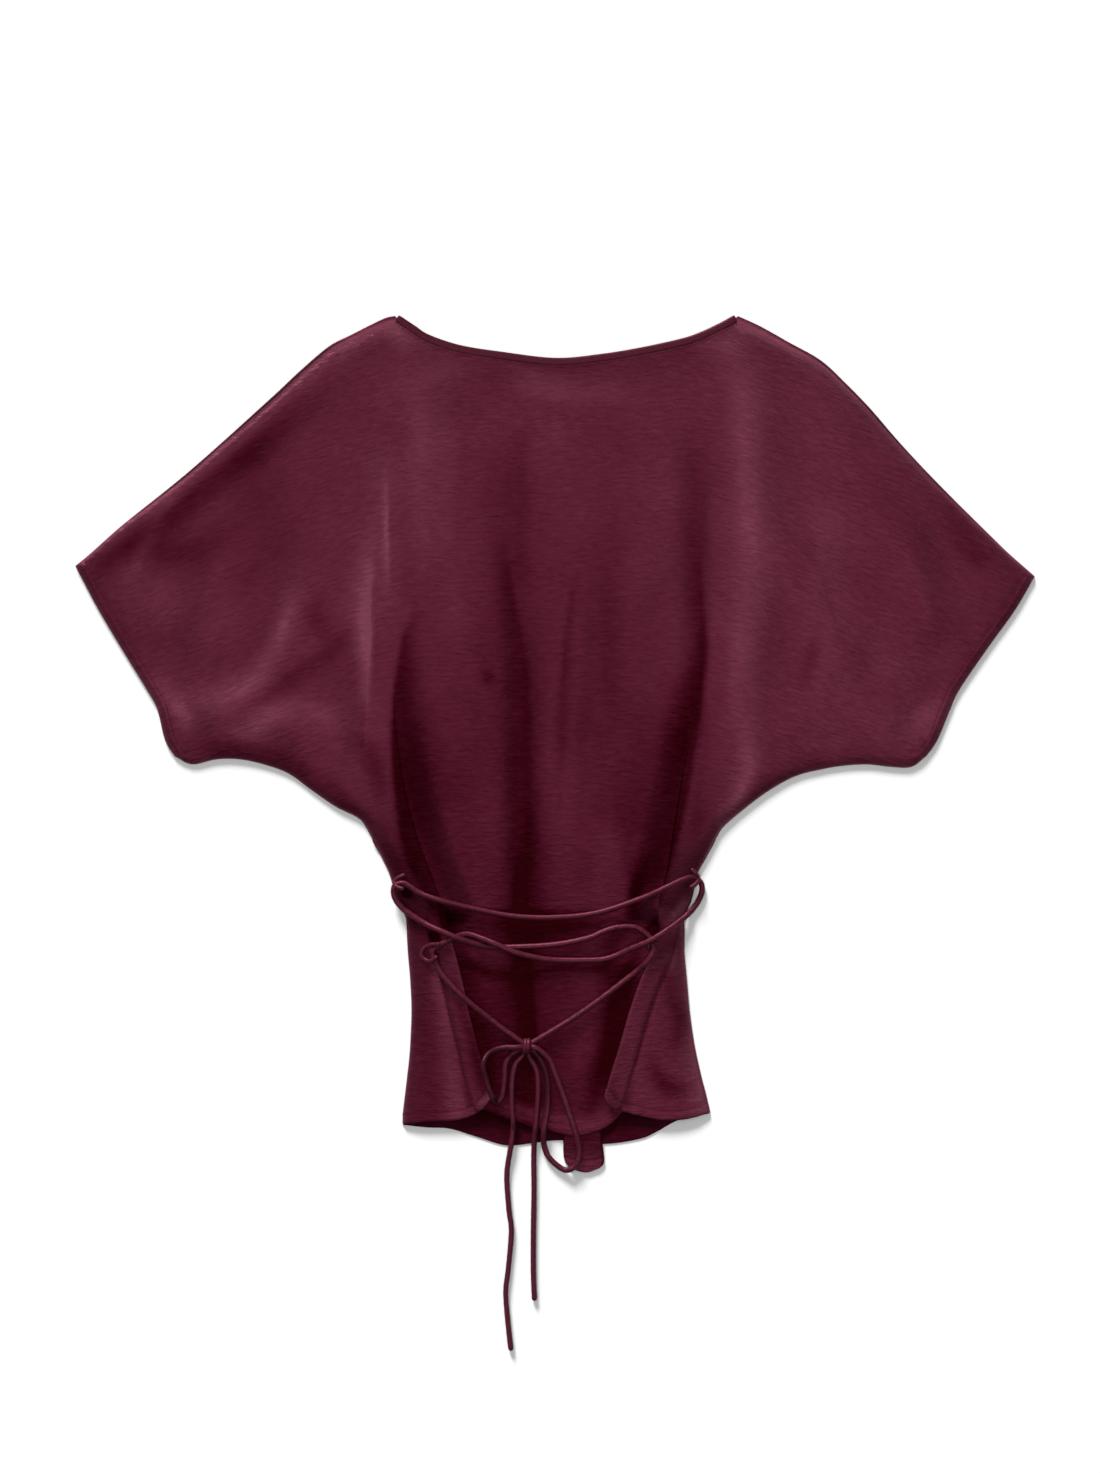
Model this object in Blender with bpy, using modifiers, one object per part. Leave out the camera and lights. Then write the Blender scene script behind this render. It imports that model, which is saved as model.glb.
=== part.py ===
"""Tie waist top: a satin batwing top laid flat on its front panel, with its laced back upwards.

Lengths in the tables are millimetres. The neck points to +Y, the laced side to +Z, and the
origin is on the floor, under the middle of the cloth.
"""
import bmesh
import bpy
import numpy as np
from math import cos, exp, hypot, pi, sin
from mathutils import Vector
from mathutils.bvhtree import BVHTree

MM = 0.001

# Cloth walls and the gaps between pieces
FRONT_WALL = 1.0
BACK_WALL = 1.2
SEAM_GAP = 0.3
BODY_LOFT = 2.2          # how far the back rises off the front, away from its seams
EDGE_ROLL = 11.0         # width over which the back comes down to a seam
NECK_ROLL = 30.0         # width over which the back comes down to its neck edge
NECK_LOFT = 0.3          # share of the loft that is left at the neck edge
TAIL_SETTLE = 0.55       # share of its loft that the centre tail loses between the flaps
TAIL_SETTLE_RUN = 60.0   # height over which it loses that
FLAP_STEP = 3.2          # how far a side flap stands over the centre tail
FLAP_REACH = 34.0        # width over which a flap comes down from its free edge
FOLD_FADE = 0.25         # share of a fold's length over which each end fades out
TUCK = 11.0              # how far the centre tail goes in under each flap
TUCK_START = 2.0         # how far above the top of the slit it begins
TUCK_RUN = 22.0          # height over which it reaches that, from there down
STEP_RUN = 3.2           # width over which a flap steps down to the centre above its slit
SLIT_FADE = 12.0         # height over which that width closes at the top of the slit
HEM_SHAPE_SHARE = 0.25   # lowest share of the tails, whose grid follows the hems

# Grid of the back panel
UPPER_ROWS = 25
LOWER_ROWS = 19
SIDE_COLUMNS = 6
CENTRE_COLUMNS = 18
SLEEVE_COLUMNS = 11

# Neck, bindings and cords
NECK_Y = 334.0
ARMPIT_Y = -73.0
SLIT_TOP_Y = -139.0
STEP_TOP_Y = 118.0
BINDING_WIDTH = 6.2
BINDING_THICK = 2.2
BINDING_GAP = 0.45       # in plan, from a panel's edge to its binding
BINDING_END = 0.004      # share of the neckline that a binding stops short of the neck point
BINDING_SECTIONS = 26
BINDING_SIDES = 8
FRONT_NECK_DROP = 9.0
CORD_DIAMETER = 4.3
LOOP_DIAMETER = 3.2
CORD_GAP = 0.4           # least height of a cord's underside over the cloth
BED_SHARE = 0.8          # share of a cord's radius over which a route point finds its cloth
CLEAR_SHARE = 1.2        # share of its radius over which it is kept clear of the cloth
RING_POINTS = 8          # points tested round a place on a route
CLEAR_HEIGHT = 100.0     # height above the floor from which the cloth is looked for
SETTLE_PASSES = 12       # rounds of evening out a cord's height along its route
FINE_STEPS = 12          # steps between two route points when it is tested against the cloth

# Sections across the body from neck to hem.
# Columns: y, left edge, crest of the left pleat, crest of the right pleat, right edge.
# Above the armpit the edges are where the sleeves begin, below it they are the side seams.
# Below the slit tops the crests are the free edges of the side flaps.
BODY_SECTIONS = [
    (334, -124.8, -115, 127, 142.5),
    (245, -147, -124, 115, 160),
    (190, -160, -127, 114, 167),
    (112, -168, -131, 115, 168),
    (34, -164, -128, 111, 158),
    (-28, -152, -119, 99, 141),
    (-73, -143, -106, 92, 126),
    (-87, -136, -101, 90, 119),
    (-102, -129, -96, 87, 112),
    (-113, -126, -92, 84, 114),
    (-122, -124, -89, 82, 112),
    (-137, -116, -85, 81, 101),
    (-160, -115, -78, 76, 101),
    (-184, -113, -72, 66, 103),
    (-207, -112, -67, 58, 105),
    (-235, -112, -60, 50, 109),
    (-262, -114, -54, 42, 115),
    (-276, -116, -50, 38, 119),
    (-310, -119, -46, 36, 121),
]

# Back neckline, left to right. Columns: x, y.
NECKLINE = [(-121, 334), (-109, 326), (-98, 319), (-74, 311), (-43, 306), (0, 301),
            (35, 304), (66, 309), (98, 316), (113, 321), (128, 328), (139, 334)]

# Sleeve edges, each from the body outwards or from the shoulder down. Columns: x, y.
LEFT_SHOULDER = [(-124.8, 328.6), (-134, 326.5), (-160, 314), (-176, 306), (-199, 287),
                 (-222, 266), (-285, 211), (-339, 169), (-363, 148), (-374, 139)]
LEFT_CUFF = [(-374, 139), (-356, 105), (-337, 73), (-318, 42), (-310, 27), (-304, 3),
             (-296, -10)]
LEFT_UNDERARM = [(-143, -73), (-152, -59), (-171, -49), (-190, -36), (-208, -23), (-227, -16),
                 (-246, -12), (-264, -12), (-283, -16), (-296, -10)]
RIGHT_SHOULDER = [(142.5, 328.2), (160, 320.5), (183, 308), (207, 295), (226, 278), (246, 258),
                  (269, 232), (300, 200), (347, 155), (374, 131)]
RIGHT_CUFF = [(374, 131), (359, 105), (336, 73), (315, 42), (308, 27), (298, 3), (289, -10)]
RIGHT_UNDERARM = [(126, -73), (132, -64), (151, -48), (169, -35), (188, -25), (207, -20),
                  (225, -17), (244, -16), (263, -18), (278, -18), (289, -10)]

# Hems, left to right. Columns: x, y.
LEFT_FLAP_HEM = [(-119, -296), (-95, -294), (-78, -293), (-66, -290), (-55, -283), (-49, -274)]
CENTRE_HEM = [(-66, -281), (-49, -288), (-17, -299), (5, -304), (16, -306), (29, -303),
              (41, -298), (50, -290), (58, -280)]
RIGHT_FLAP_HEM = [(38, -274), (44, -283), (68, -290), (86, -293), (104, -292), (121, -287)]
FRONT_HEM = [(-119, -297), (-100, -299), (-82, -300), (-62, -306), (-38, -313), (-16, -311),
             (5, -309)]
FRONT_TAB = [(5, -309), (7, -322), (12, -331), (24, -334), (34, -331), (38, -326), (37, -312)]
FRONT_HEM_RIGHT = [(37, -312), (66, -308), (80, -302), (97, -293), (121, -288)]
TAB_FOLD = [(8, -298), (7, -322), (12, -331), (24, -334), (34, -331), (38, -326), (36, -298)]

# Large folds of the back. Columns: name, points along the crest, height (below 0 is a trough),
# width to the left of the crest, width to its right.
FOLDS = [
    ("left crease", [(-127, 262), (-130, 165), (-143, 81), (-148, 3), (-146, -40)], 3.6, 15, 10),
    ("centre valley", [(-43, 205), (-31, 112), (-27, 34), (-26, -122), (-23, -290)], -2.6, 9, 9),
    ("left of valley", [(-62, 215), (-53, 112), (-49, 0), (-47, -150)], 1.6, 16, 13),
    ("centre ridge", [(16, 235), (12, 81), (3, -44), (0, -150)], 1.9, 20, 20),
    ("second ridge", [(62, 215), (60, 60), (47, -60), (40, -150)], 1.4, 18, 15),
    ("right valley", [(110, 290), (104, 190), (104, 81), (88, -12), (70, -98)], -2.0, 15, 8),
    ("right crease", [(140, 318), (150, 190), (146, 81), (136, -8), (118, -60)], 3.4, 12, 17),
    ("left neck fold", [(-78, 300), (-84, 220), (-88, 120)], 1.5, 16, 14),
    ("left sleeve fold", [(-176, 160), (-200, 90), (-232, 30)], 2.4, 17, 16),
    ("left outer fold", [(-250, 190), (-268, 120), (-280, 60)], 1.7, 18, 18),
    ("left arm roll", [(-172, -12), (-215, 20), (-262, 24), (-292, 18)], 2.2, 15, 19),
    ("right sleeve fold", [(190, 170), (214, 95), (235, 40)], 2.0, 18, 17),
    ("right outer fold", [(262, 190), (284, 120), (290, 66)], 1.7, 18, 18),
    ("right arm roll", [(166, 6), (206, 20), (250, 24), (284, 18)], 2.2, 19, 15),
    ("tail over the front fold", [(18, -230), (22, -275), (24, -340)], 2.4, 22, 16),
]

# Lacing, knot and tails of the one tie cord.
# Columns: x, y, how far the cord's underside is over what lies below it.
CORD_UPPER_CROSS = [(-117, -108.5, 0.6), (-105, -116, 0.6), (-91, -121, 0.6), (-64, -128, 3.2),
                    (-32, -134, 4.0), (0, -135, 4.2), (32, -131.5, 4.0), (67, -120, 2.0),
                    (85, -112, 0.6), (104, -104, 0.6)]
CORD_LEFT_TURN = [(-124.8, -110.5, 2.2), (-125, -119, 2.2), (-120, -126.5, 1.2),
                  (-114.5, -131, 0.6), (-101, -139.5, 0.6), (-90, -144.5, 3.0), (-77, -150, 9.4),
                  (-64, -155, 5.2), (-52, -157.5, 1.6), (-32, -158, 1.6), (0, -156, 2.8),
                  (25, -151, 2.8), (37, -146, 2.4), (49, -142.5, 1.4), (62, -142.5, 0.6),
                  (70, -147.0, 0.5), (74.6, -152, 0.5)]
CORD_RIGHT_TURN = [(112, -108.5, 2.2), (113, -117, 2.2), (109, -127, 1.2), (98, -137, 0.8),
                   (85, -146, 3.6), (72, -153.5, 8.4), (59, -159, 5.4), (46, -165, 3.0),
                   (33, -168, 3.0), (0, -168, 3.2), (-17, -165.5, 5.0), (-32, -161.5, 7.2),
                   (-46, -155.5, 6.6), (-59, -150.5, 3.0), (-70, -148, 0.5),
                   (-83, -152.5, 0.5), (-93, -157.5, 0.6)]
CORD_LEFT_LEG = [(-97, -164, 0.6), (-95.5, -172, 0.6), (-89.5, -182, 0.6), (-72, -196, 1.6),
                 (-50, -214.5, 2.6), (-27.9, -230.6, 2.4)]
CORD_RIGHT_LEG = [(76.5, -160, 0.6), (72, -168.5, 0.6), (62, -178, 1.4), (33, -200, 2.6),
                  (12, -214.5, 2.6), (-16.2, -231.5, 2.4)]
BOW_LEFT = [(-30, -236, 4.6), (-41, -236.4, 3.2), (-51, -240.5, 0.8), (-55.5, -249, 0.5),
            (-53.5, -260.5, 0.5), (-50, -271, 0.5), (-45.5, -279, 0.5), (-41.5, -276, 0.5),
            (-40, -269, 0.5), (-39, -260.5, 0.5), (-38.4, -250, 0.5), (-35.5, -243.5, 0.4),
            (-30.6, -239.6, 0.4)]
BOW_RIGHT = [(-14.6, -236.6, 3.6), (-5, -245, 1.6), (0, -256, 0.8), (6, -272, 0.8),
             (11, -287, 0.8), (16, -302, 0.8), (19, -317, 0.8), (17, -327, 0.8), (8, -332, 0.8),
             (-4, -323, 0.8), (-8.6, -312, 0.8), (-8.6, -301, 0.8), (-6, -285, 0.8),
             (-5.5, -270, 0.8), (-7, -257, 0.8), (-11, -246.5, 0.5), (-15.4, -240.4, 0.4)]
TAIL_LONG = [(-25.4, -242.8, 0.8), (-30.5, -249, 0.8), (-33.2, -262, 0.8), (-33.6, -280, 0.8),
             (-32.5, -297, 0.8), (-34, -311, 0.8), (-37.5, -335, 0.3), (-36, -362, 0.3),
             (-34, -380, 0.3), (-36.5, -409, 0.3), (-38.5, -427, 0.3), (-37, -448, 0.3),
             (-34.5, -471, 0.3)]
TAIL_SHORT = [(-20.2, -242.9, 0.8), (-15.8, -251, 0.8), (-13.2, -260, 0.8), (-13.4, -280, 0.8),
              (-15.8, -306, 0.8), (-16.5, -322, 0.3), (-16.3, -348, 0.3), (-16.8, -380, 0.3),
              (-16.8, -412, 0.3), (-16, -432, 0.3)]
KNOT = (-22.3, -235.2)
KNOT_HALF = (7.0, 6.6, 4.8)
KNOT_TURNS = 12
KNOT_RINGS = 8
KNOT_BED_SHARE = 0.6     # share of its half width over which the cloth carries it

# Thin cord loops that carry the lacing. Columns: x, y, how far the underside is over the cloth.
LOOP_TOP_LEFT = [(-113, -100.5, 0.4), (-119, -101.5, 3.0), (-124, -106, 6.2), (-119, -114.0, 7.4),
                 (-113, -117.2, 6.0)]
LOOP_TOP_RIGHT = [(99, -96.5, 0.4), (105, -97.5, 3.0), (112, -102, 6.4), (108.5, -110, 7.0),
                  (103, -113, 5.5)]
LOOP_LOW_LEFT = [(-95, -150.6, 0.5), (-101, -153.0, 1.2), (-104, -159.5, 1.2), (-102, -166, 0.5)]
LOOP_LOW_RIGHT = [(78.6, -155.4, 0.8), (83, -156.5, 1.0), (85.5, -160, 0.8), (84, -165, 0.5)]

# Colour of the satin and its thread, linear values
SATIN = (0.083, 0.012, 0.024)
SATIN_INSIDE = (0.055, 0.008, 0.016)
CORD_SATIN = (0.105, 0.015, 0.031)
CLOTH_ROUGHNESS = 0.42
CORD_ROUGHNESS = 0.4


def interpolate(table, at, column):
    """Smooth value of a table's column where its first column is `at`."""
    rows = sorted(table)
    xs = [row[0] for row in rows]
    vs = [row[column] for row in rows]
    at = min(max(at, xs[0]), xs[-1])
    i = min(max(int(np.searchsorted(xs, at)) - 1, 0), len(xs) - 2)

    def slope(k):
        if k == 0 or k == len(xs) - 1:
            a, b = (0, 1) if k == 0 else (k - 1, k)
            return (vs[b] - vs[a]) / (xs[b] - xs[a])
        before = (vs[k] - vs[k - 1]) / (xs[k] - xs[k - 1])
        after = (vs[k + 1] - vs[k]) / (xs[k + 1] - xs[k])
        return 0.0 if before * after <= 0 else 2 * before * after / (before + after)

    width = xs[i + 1] - xs[i]
    t = (at - xs[i]) / width
    start = vs[i] * (1 + 2 * t) * (1 - t) ** 2 + slope(i) * width * t * (1 - t) ** 2
    end = vs[i + 1] * t * t * (3 - 2 * t) - slope(i + 1) * width * t * t * (1 - t)
    return start + end


def along(points, share):
    """Point at a share of the length of a line of points."""
    lengths = [0.0]
    for a, b in zip(points, points[1:]):
        lengths.append(lengths[-1] + hypot(b[0] - a[0], b[1] - a[1]))
    target = share * lengths[-1]
    values = zip(*points)
    return tuple(float(np.interp(target, lengths, column)) for column in values)


def smooth_step(value):
    """0 to 1, with level ends."""
    value = min(max(value, 0.0), 1.0)
    return value * value * (3 - 2 * value)


def inside_neck(line, x, inset):
    """Point inside a neckline, square to it and an inset away, beside its point at x."""
    slope = interpolate(line, x + 1, 1) - interpolate(line, x - 1, 1)
    slope /= min(x + 1, line[-1][0]) - max(x - 1, line[0][0])
    length = hypot(slope, 1)
    return x + slope / length * inset, interpolate(line, x, 1) - inset / length


def signed_distance(points, x, y):
    """Distance to a line of points (above 0 on its right, going down) and the share along it."""
    best = None
    total = sum(hypot(b[0] - a[0], b[1] - a[1]) for a, b in zip(points, points[1:]))
    gone = 0.0
    for a, b in zip(points, points[1:]):
        dx, dy = b[0] - a[0], b[1] - a[1]
        length = hypot(dx, dy)
        t = min(max(((x - a[0]) * dx + (y - a[1]) * dy) / length ** 2, 0.0), 1.0)
        px, py = x - a[0] - t * dx, y - a[1] - t * dy
        distance = hypot(px, py)
        if best is None or distance < abs(best[0]):
            side = 1.0 if dx * py - dy * px > 0 else -1.0
            best = (side * distance, (gone + t * length) / total)
        gone += length
    return best


def fold_height(x, y):
    """Sum of the large folds at a point of the back."""
    height = 0.0
    for _name, points, rise, left, right in FOLDS:
        distance, share = signed_distance(points, x, y)
        width = right if distance > 0 else left
        fade = smooth_step(share / FOLD_FADE) * smooth_step((1 - share) / FOLD_FADE)
        height += rise * fade * exp(-(distance / width) ** 2)
    return height


def side_outline(shoulder, cuff, underarm, column):
    """Outer edge of one side, from the neck point to the hem. column holds its side seam."""
    seam = [(row[column], row[0]) for row in BODY_SECTIONS if row[0] < ARMPIT_Y]
    return shoulder + cuff[1:] + underarm[-2::-1] + seam


LEFT_OUTLINE = side_outline(LEFT_SHOULDER, LEFT_CUFF, LEFT_UNDERARM, 1)
RIGHT_OUTLINE = side_outline(RIGHT_SHOULDER, RIGHT_CUFF, RIGHT_UNDERARM, 4)


def back_underside(x, y, side):
    """Height of the back's lower face, on its left (-1), in its centre (0) or on its right (1)."""
    to_edge = min(abs(signed_distance(line, x, y)[0]) for line in (LEFT_OUTLINE, RIGHT_OUTLINE))
    roll = 1 - exp(-to_edge / EDGE_ROLL)
    to_neck = interpolate(NECKLINE, x, 1) - y
    neck = NECK_LOFT + (1 - NECK_LOFT) * smooth_step(to_neck / NECK_ROLL)
    height = max(BODY_LOFT + fold_height(x, y), 0.0) * roll * neck
    if side:
        crest = interpolate(BODY_SECTIONS, y, 2 if side < 0 else 3)
        step = FLAP_STEP * smooth_step((STEP_TOP_Y - y) / (STEP_TOP_Y - SLIT_TOP_Y))
        height += step * exp(-abs(x - crest) / FLAP_REACH) * roll
    else:
        lowered = smooth_step((SLIT_TOP_Y + TAIL_SETTLE_RUN - y) / TAIL_SETTLE_RUN)
        height *= 1 - TAIL_SETTLE * lowered
    return FRONT_WALL + SEAM_GAP + height


def across_body(y, side, share):
    """x at a share of the width of one side or of the centre, at a height on the body."""
    left, crest_left, crest_right, right = (interpolate(BODY_SECTIONS, y, k) for k in (1, 2, 3, 4))
    if side < 0:
        return left + (crest_left - left) * share
    if side > 0:
        return crest_right + (right - crest_right) * share
    tuck = TUCK * smooth_step((SLIT_TOP_Y + TUCK_START - y) / TUCK_RUN)
    step = STEP_RUN * smooth_step((y - SLIT_TOP_Y) / SLIT_FADE)
    return crest_left - tuck + step + (crest_right - crest_left + 2 * (tuck - step)) * share


def body_point(row, share, side):
    """Point of the back between the sleeves or the side seams."""
    if row <= UPPER_ROWS:
        down = row / UPPER_ROWS
        y = NECK_Y + (ARMPIT_Y - NECK_Y) * down
        x = across_body(y, side, share)
        top = across_body(NECK_Y, side, share)
        width_share = (top - BODY_SECTIONS[0][1]) / (BODY_SECTIONS[0][4] - BODY_SECTIONS[0][1])
        beside = NECKLINE[0][0] + width_share * (NECKLINE[-1][0] - NECKLINE[0][0])
        neck_x, neck_y = inside_neck(NECKLINE, beside, BINDING_WIDTH + BINDING_GAP)
        x += (neck_x - top) * (1 - down) ** 2
        y += (neck_y - NECK_Y) * (1 - down) ** 2
    else:
        down = (row - UPPER_ROWS) / LOWER_ROWS
        hem = along({-1: LEFT_FLAP_HEM, 0: CENTRE_HEM, 1: RIGHT_FLAP_HEM}[side], share)
        y = ARMPIT_Y + (hem[1] - ARMPIT_Y) * down
        x = across_body(y, side, share)
        x += (hem[0] - x) * smooth_step(1 - (1 - down) / HEM_SHAPE_SHARE)
    return x, y, back_underside(x, y, side)


def sleeve_point(row, column, side):
    """Point of a sleeve, on a patch between the body, shoulder, cuff and underarm."""
    out = column / SLEEVE_COLUMNS
    down = row / UPPER_ROWS
    if side < 0:
        shoulder, cuff, underarm, edge = LEFT_SHOULDER, LEFT_CUFF, LEFT_UNDERARM, 1
    else:
        shoulder, cuff, underarm, edge = RIGHT_SHOULDER, RIGHT_CUFF, RIGHT_UNDERARM, 4
    body_y = NECK_Y + (ARMPIT_Y - NECK_Y) * down
    body = (interpolate(BODY_SECTIONS, body_y, edge), body_y)
    edges = [(along(shoulder, out), 1 - down), (along(underarm, out), down), (body, 1 - out),
             (along(cuff, down), out)]
    corners = [(shoulder[0], (1 - out) * (1 - down)), (shoulder[-1], out * (1 - down)),
               (underarm[0], (1 - out) * down), (underarm[-1], out * down)]
    x, y = (sum(point[k] * weight for point, weight in edges)
            - sum(point[k] * weight for point, weight in corners) for k in (0, 1))
    return x, y, back_underside(x, y, side)


def add_object(name, data, color, roughness, collection):
    """Link an object and give it a material of its own."""
    material = bpy.data.materials.new(name)
    material.use_nodes = True
    shader = material.node_tree.nodes["Principled BSDF"]
    shader.inputs["Base Color"].default_value = (*color, 1.0)
    shader.inputs["Roughness"].default_value = roughness
    shader.inputs["Metallic"].default_value = 0.0
    data.materials.append(material)
    made = bpy.data.objects.new(name, data)
    collection.objects.link(made)
    return made


def back_panel(collection):
    """Back with its sleeves, side flaps and centre tail in one sheet, parted by two slits."""
    columns = []
    for k in range(SLEEVE_COLUMNS, 0, -1):
        columns.append([sleeve_point(row, k, -1) for row in range(UPPER_ROWS + 1)])
    slits = []
    for side, count in ((-1, SIDE_COLUMNS), (0, CENTRE_COLUMNS), (1, SIDE_COLUMNS)):
        for k in range(count + 1):
            rows = range(UPPER_ROWS + LOWER_ROWS + 1)
            columns.append([body_point(row, k / count, side) for row in rows])
        slits.append(len(columns) - 1)
    for k in range(1, SLEEVE_COLUMNS + 1):
        columns.append([sleeve_point(row, k, 1) for row in range(UPPER_ROWS + 1)])
    bm = bmesh.new()
    made = [[bm.verts.new(Vector(point) * MM) for point in column] for column in columns]
    for k, (a, b) in enumerate(zip(made, made[1:])):
        for row in range(min(len(a), len(b)) - 1):
            if k in slits[:2] and min(a[row + 1].co.y, b[row + 1].co.y) < SLIT_TOP_Y * MM:
                break
            bm.faces.new((a[row], a[row + 1], b[row + 1], b[row]))
    mesh = bpy.data.meshes.new("back_panel")
    bm.to_mesh(mesh)
    bm.free()
    mesh.shade_smooth()
    panel = add_object("back_panel", mesh, SATIN, CLOTH_ROUGHNESS, collection)
    wall = panel.modifiers.new("Wall", "SOLIDIFY")
    wall.thickness = BACK_WALL * MM
    wall.offset = 1.0
    return panel


def flat_piece(name, points, low, thick, color, collection):
    """Flat piece of cloth cut to an outline, lying at a height."""
    curve = bpy.data.curves.new(name, "CURVE")
    curve.dimensions = "2D"
    curve.fill_mode = "BOTH"
    curve.extrude = thick / 2 * MM
    spline = curve.splines.new("POLY")
    spline.points.add(len(points) - 1)
    for target, (x, y) in zip(spline.points, points):
        target.co = (x * MM, y * MM, 0.0, 1.0)
    spline.use_cyclic_u = True
    piece = add_object(name, curve, color, CLOTH_ROUGHNESS, collection)
    piece.location.z = (low + thick / 2) * MM
    return piece


def front_neckline():
    """Front neckline, left to right: the back's, lowered most at its middle."""
    start, end = NECKLINE[0][0], NECKLINE[-1][0]
    return [(x, y - FRONT_NECK_DROP * sin(pi * (x - start) / (end - start))) for x, y in NECKLINE]


def front_panel(collection):
    """Front with its sleeves, under the back, and the lower ply of the fold at its hem."""
    line = front_neckline()
    neck = [inside_neck(line, x, BINDING_WIDTH + BINDING_GAP) for x, _y in line]
    left = [point for point in LEFT_OUTLINE[1:] if point[1] > LEFT_FLAP_HEM[0][1]]
    right = [point for point in RIGHT_OUTLINE[1:] if point[1] > RIGHT_FLAP_HEM[-1][1]]
    points = left + FRONT_HEM + FRONT_TAB[1:] + FRONT_HEM_RIGHT[1:] + right[::-1] + neck[::-1]
    return flat_piece("front_panel", points, 0.0, FRONT_WALL, SATIN_INSIDE, collection)


def front_pleat(collection):
    """Upper ply of the spare width, folded at the middle of the front hem."""
    low = FRONT_WALL + SEAM_GAP
    return flat_piece("front_pleat", TAB_FOLD, low, FRONT_WALL, SATIN, collection)


def band(name, line, low, thick, collection):
    """Folded strip along a line of plan points, which is its outer edge."""
    mesh = bpy.data.meshes.new(name)
    bm = bmesh.new()
    rings = []
    for k, (x, y) in enumerate(line):
        before, after = line[max(k - 1, 0)], line[min(k + 1, len(line) - 1)]
        length = hypot(after[0] - before[0], after[1] - before[1])
        across = Vector(((after[1] - before[1]) / length, -(after[0] - before[0]) / length, 0))
        centre = Vector((x, y, low + thick / 2)) + across * BINDING_WIDTH / 2
        ring = []
        for n in range(BINDING_SIDES):
            turn = 2 * pi * (n + 0.5) / BINDING_SIDES
            offset = across * cos(turn) * BINDING_WIDTH / 2 + Vector((0, 0, sin(turn) * thick / 2))
            ring.append(bm.verts.new((centre + offset) * MM))
        rings.append(ring)
    for a, b in zip(rings, rings[1:]):
        for n in range(BINDING_SIDES):
            m = (n + 1) % BINDING_SIDES
            bm.faces.new((a[n], a[m], b[m], b[n]))
    bm.faces.new(rings[0][::-1])
    bm.faces.new(rings[-1])
    bmesh.ops.recalc_face_normals(bm, faces=bm.faces)
    bm.to_mesh(mesh)
    bm.free()
    mesh.shade_smooth()
    add_object(name, mesh, SATIN, CLOTH_ROUGHNESS, collection)


def bindings(collection):
    """Folded strips round the neck: one on the back's edge, one level with the front."""
    for name, line, low, thick in (
            ("neck_binding_back", NECKLINE, FRONT_WALL + SEAM_GAP, BINDING_THICK),
            ("neck_binding_front", front_neckline(), 0.0, FRONT_WALL)):
        shares = [BINDING_END + (1 - 2 * BINDING_END) * k / BINDING_SECTIONS
                  for k in range(BINDING_SECTIONS + 1)]
        band(name, [along(line, share) for share in shares], low, thick, collection)


class Ground:
    """Finds the top of the cloth below a point of a cord."""

    def __init__(self, pieces):
        graph = bpy.context.evaluated_depsgraph_get()
        self.trees = []
        for piece in pieces:
            mesh = piece.evaluated_get(graph).to_mesh()
            points = [piece.matrix_world @ vertex.co for vertex in mesh.vertices]
            faces = [tuple(face.vertices) for face in mesh.polygons]
            self.trees.append(BVHTree.FromPolygons(points, faces))

    def top(self, x, y, reach):
        """Highest cloth, in mm, within `reach` of a point in plan; the floor is 0."""
        best = 0.0
        ring = [(reach * cos(k * 2 * pi / RING_POINTS), reach * sin(k * 2 * pi / RING_POINTS))
                for k in range(RING_POINTS)]
        for dx, dy in [(0.0, 0.0)] + ring:
            start = Vector((x + dx, y + dy, CLEAR_HEIGHT)) * MM
            for tree in self.trees:
                hit = tree.ray_cast(start, Vector((0, 0, -1)))[0]
                if hit is not None:
                    best = max(best, hit.z / MM)
        return best


def route(points, ground, radius, spacing):
    """Smooth route through hand-set points, read at an even spacing, laid over the cloth."""
    placed = [Vector((x, y, ground.top(x, y, radius * BED_SHARE) + over + radius)) for x, y, over in points]
    ends = [placed[0] * 2 - placed[1]] + placed + [placed[-1] * 2 - placed[-2]]
    fine = []
    for a, b, c, d in zip(ends, ends[1:], ends[2:], ends[3:]):
        for k in range(FINE_STEPS):
            t = k / FINE_STEPS
            fine.append(0.5 * (2 * b + (c - a) * t + (2 * a - 5 * b + 4 * c - d) * t * t
                               + (3 * b - a - 3 * c + d) * t ** 3))
    fine.append(placed[-1])
    lowest = [ground.top(p.x, p.y, radius * CLEAR_SHARE) + radius + CORD_GAP for p in fine]
    heights = [max(p.z, low) for p, low in zip(fine, lowest)]
    for _ in range(SETTLE_PASSES):
        middle = [(a + 2 * b + c) / 4 for a, b, c in zip(heights, heights[1:], heights[2:])]
        heights = [max(z, low) for z, low in zip(heights[:1] + middle + heights[-1:], lowest)]
    laid = [(p.x, p.y, z) for p, z in zip(fine, heights)]
    gone = np.cumsum([0.0] + [hypot(b.x - a.x, b.y - a.y) for a, b in zip(fine, fine[1:])])
    count = max(3, round(gone[-1] / spacing))
    samples = [Vector(along(laid, k / count)) for k in range(count + 1)]
    for place, low in zip(gone / gone[-1] * count, lowest):
        k = min(int(place), count - 1)
        lack = low - (samples[k].z + (samples[k + 1].z - samples[k].z) * (place - k))
        if lack > 0:
            samples[k].z += lack
            samples[k + 1].z += lack
    return samples


def tube(name, points, diameter, collection):
    """Round cord along a route."""
    curve = bpy.data.curves.new(name, "CURVE")
    curve.dimensions = "3D"
    curve.bevel_depth = diameter / 2 * MM
    curve.bevel_resolution = 2
    curve.use_fill_caps = True
    spline = curve.splines.new("POLY")
    spline.points.add(len(points) - 1)
    for target, point in zip(spline.points, points):
        target.co = (*(point * MM), 1.0)
    return add_object(name, curve, CORD_SATIN, CORD_ROUGHNESS, collection)


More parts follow.
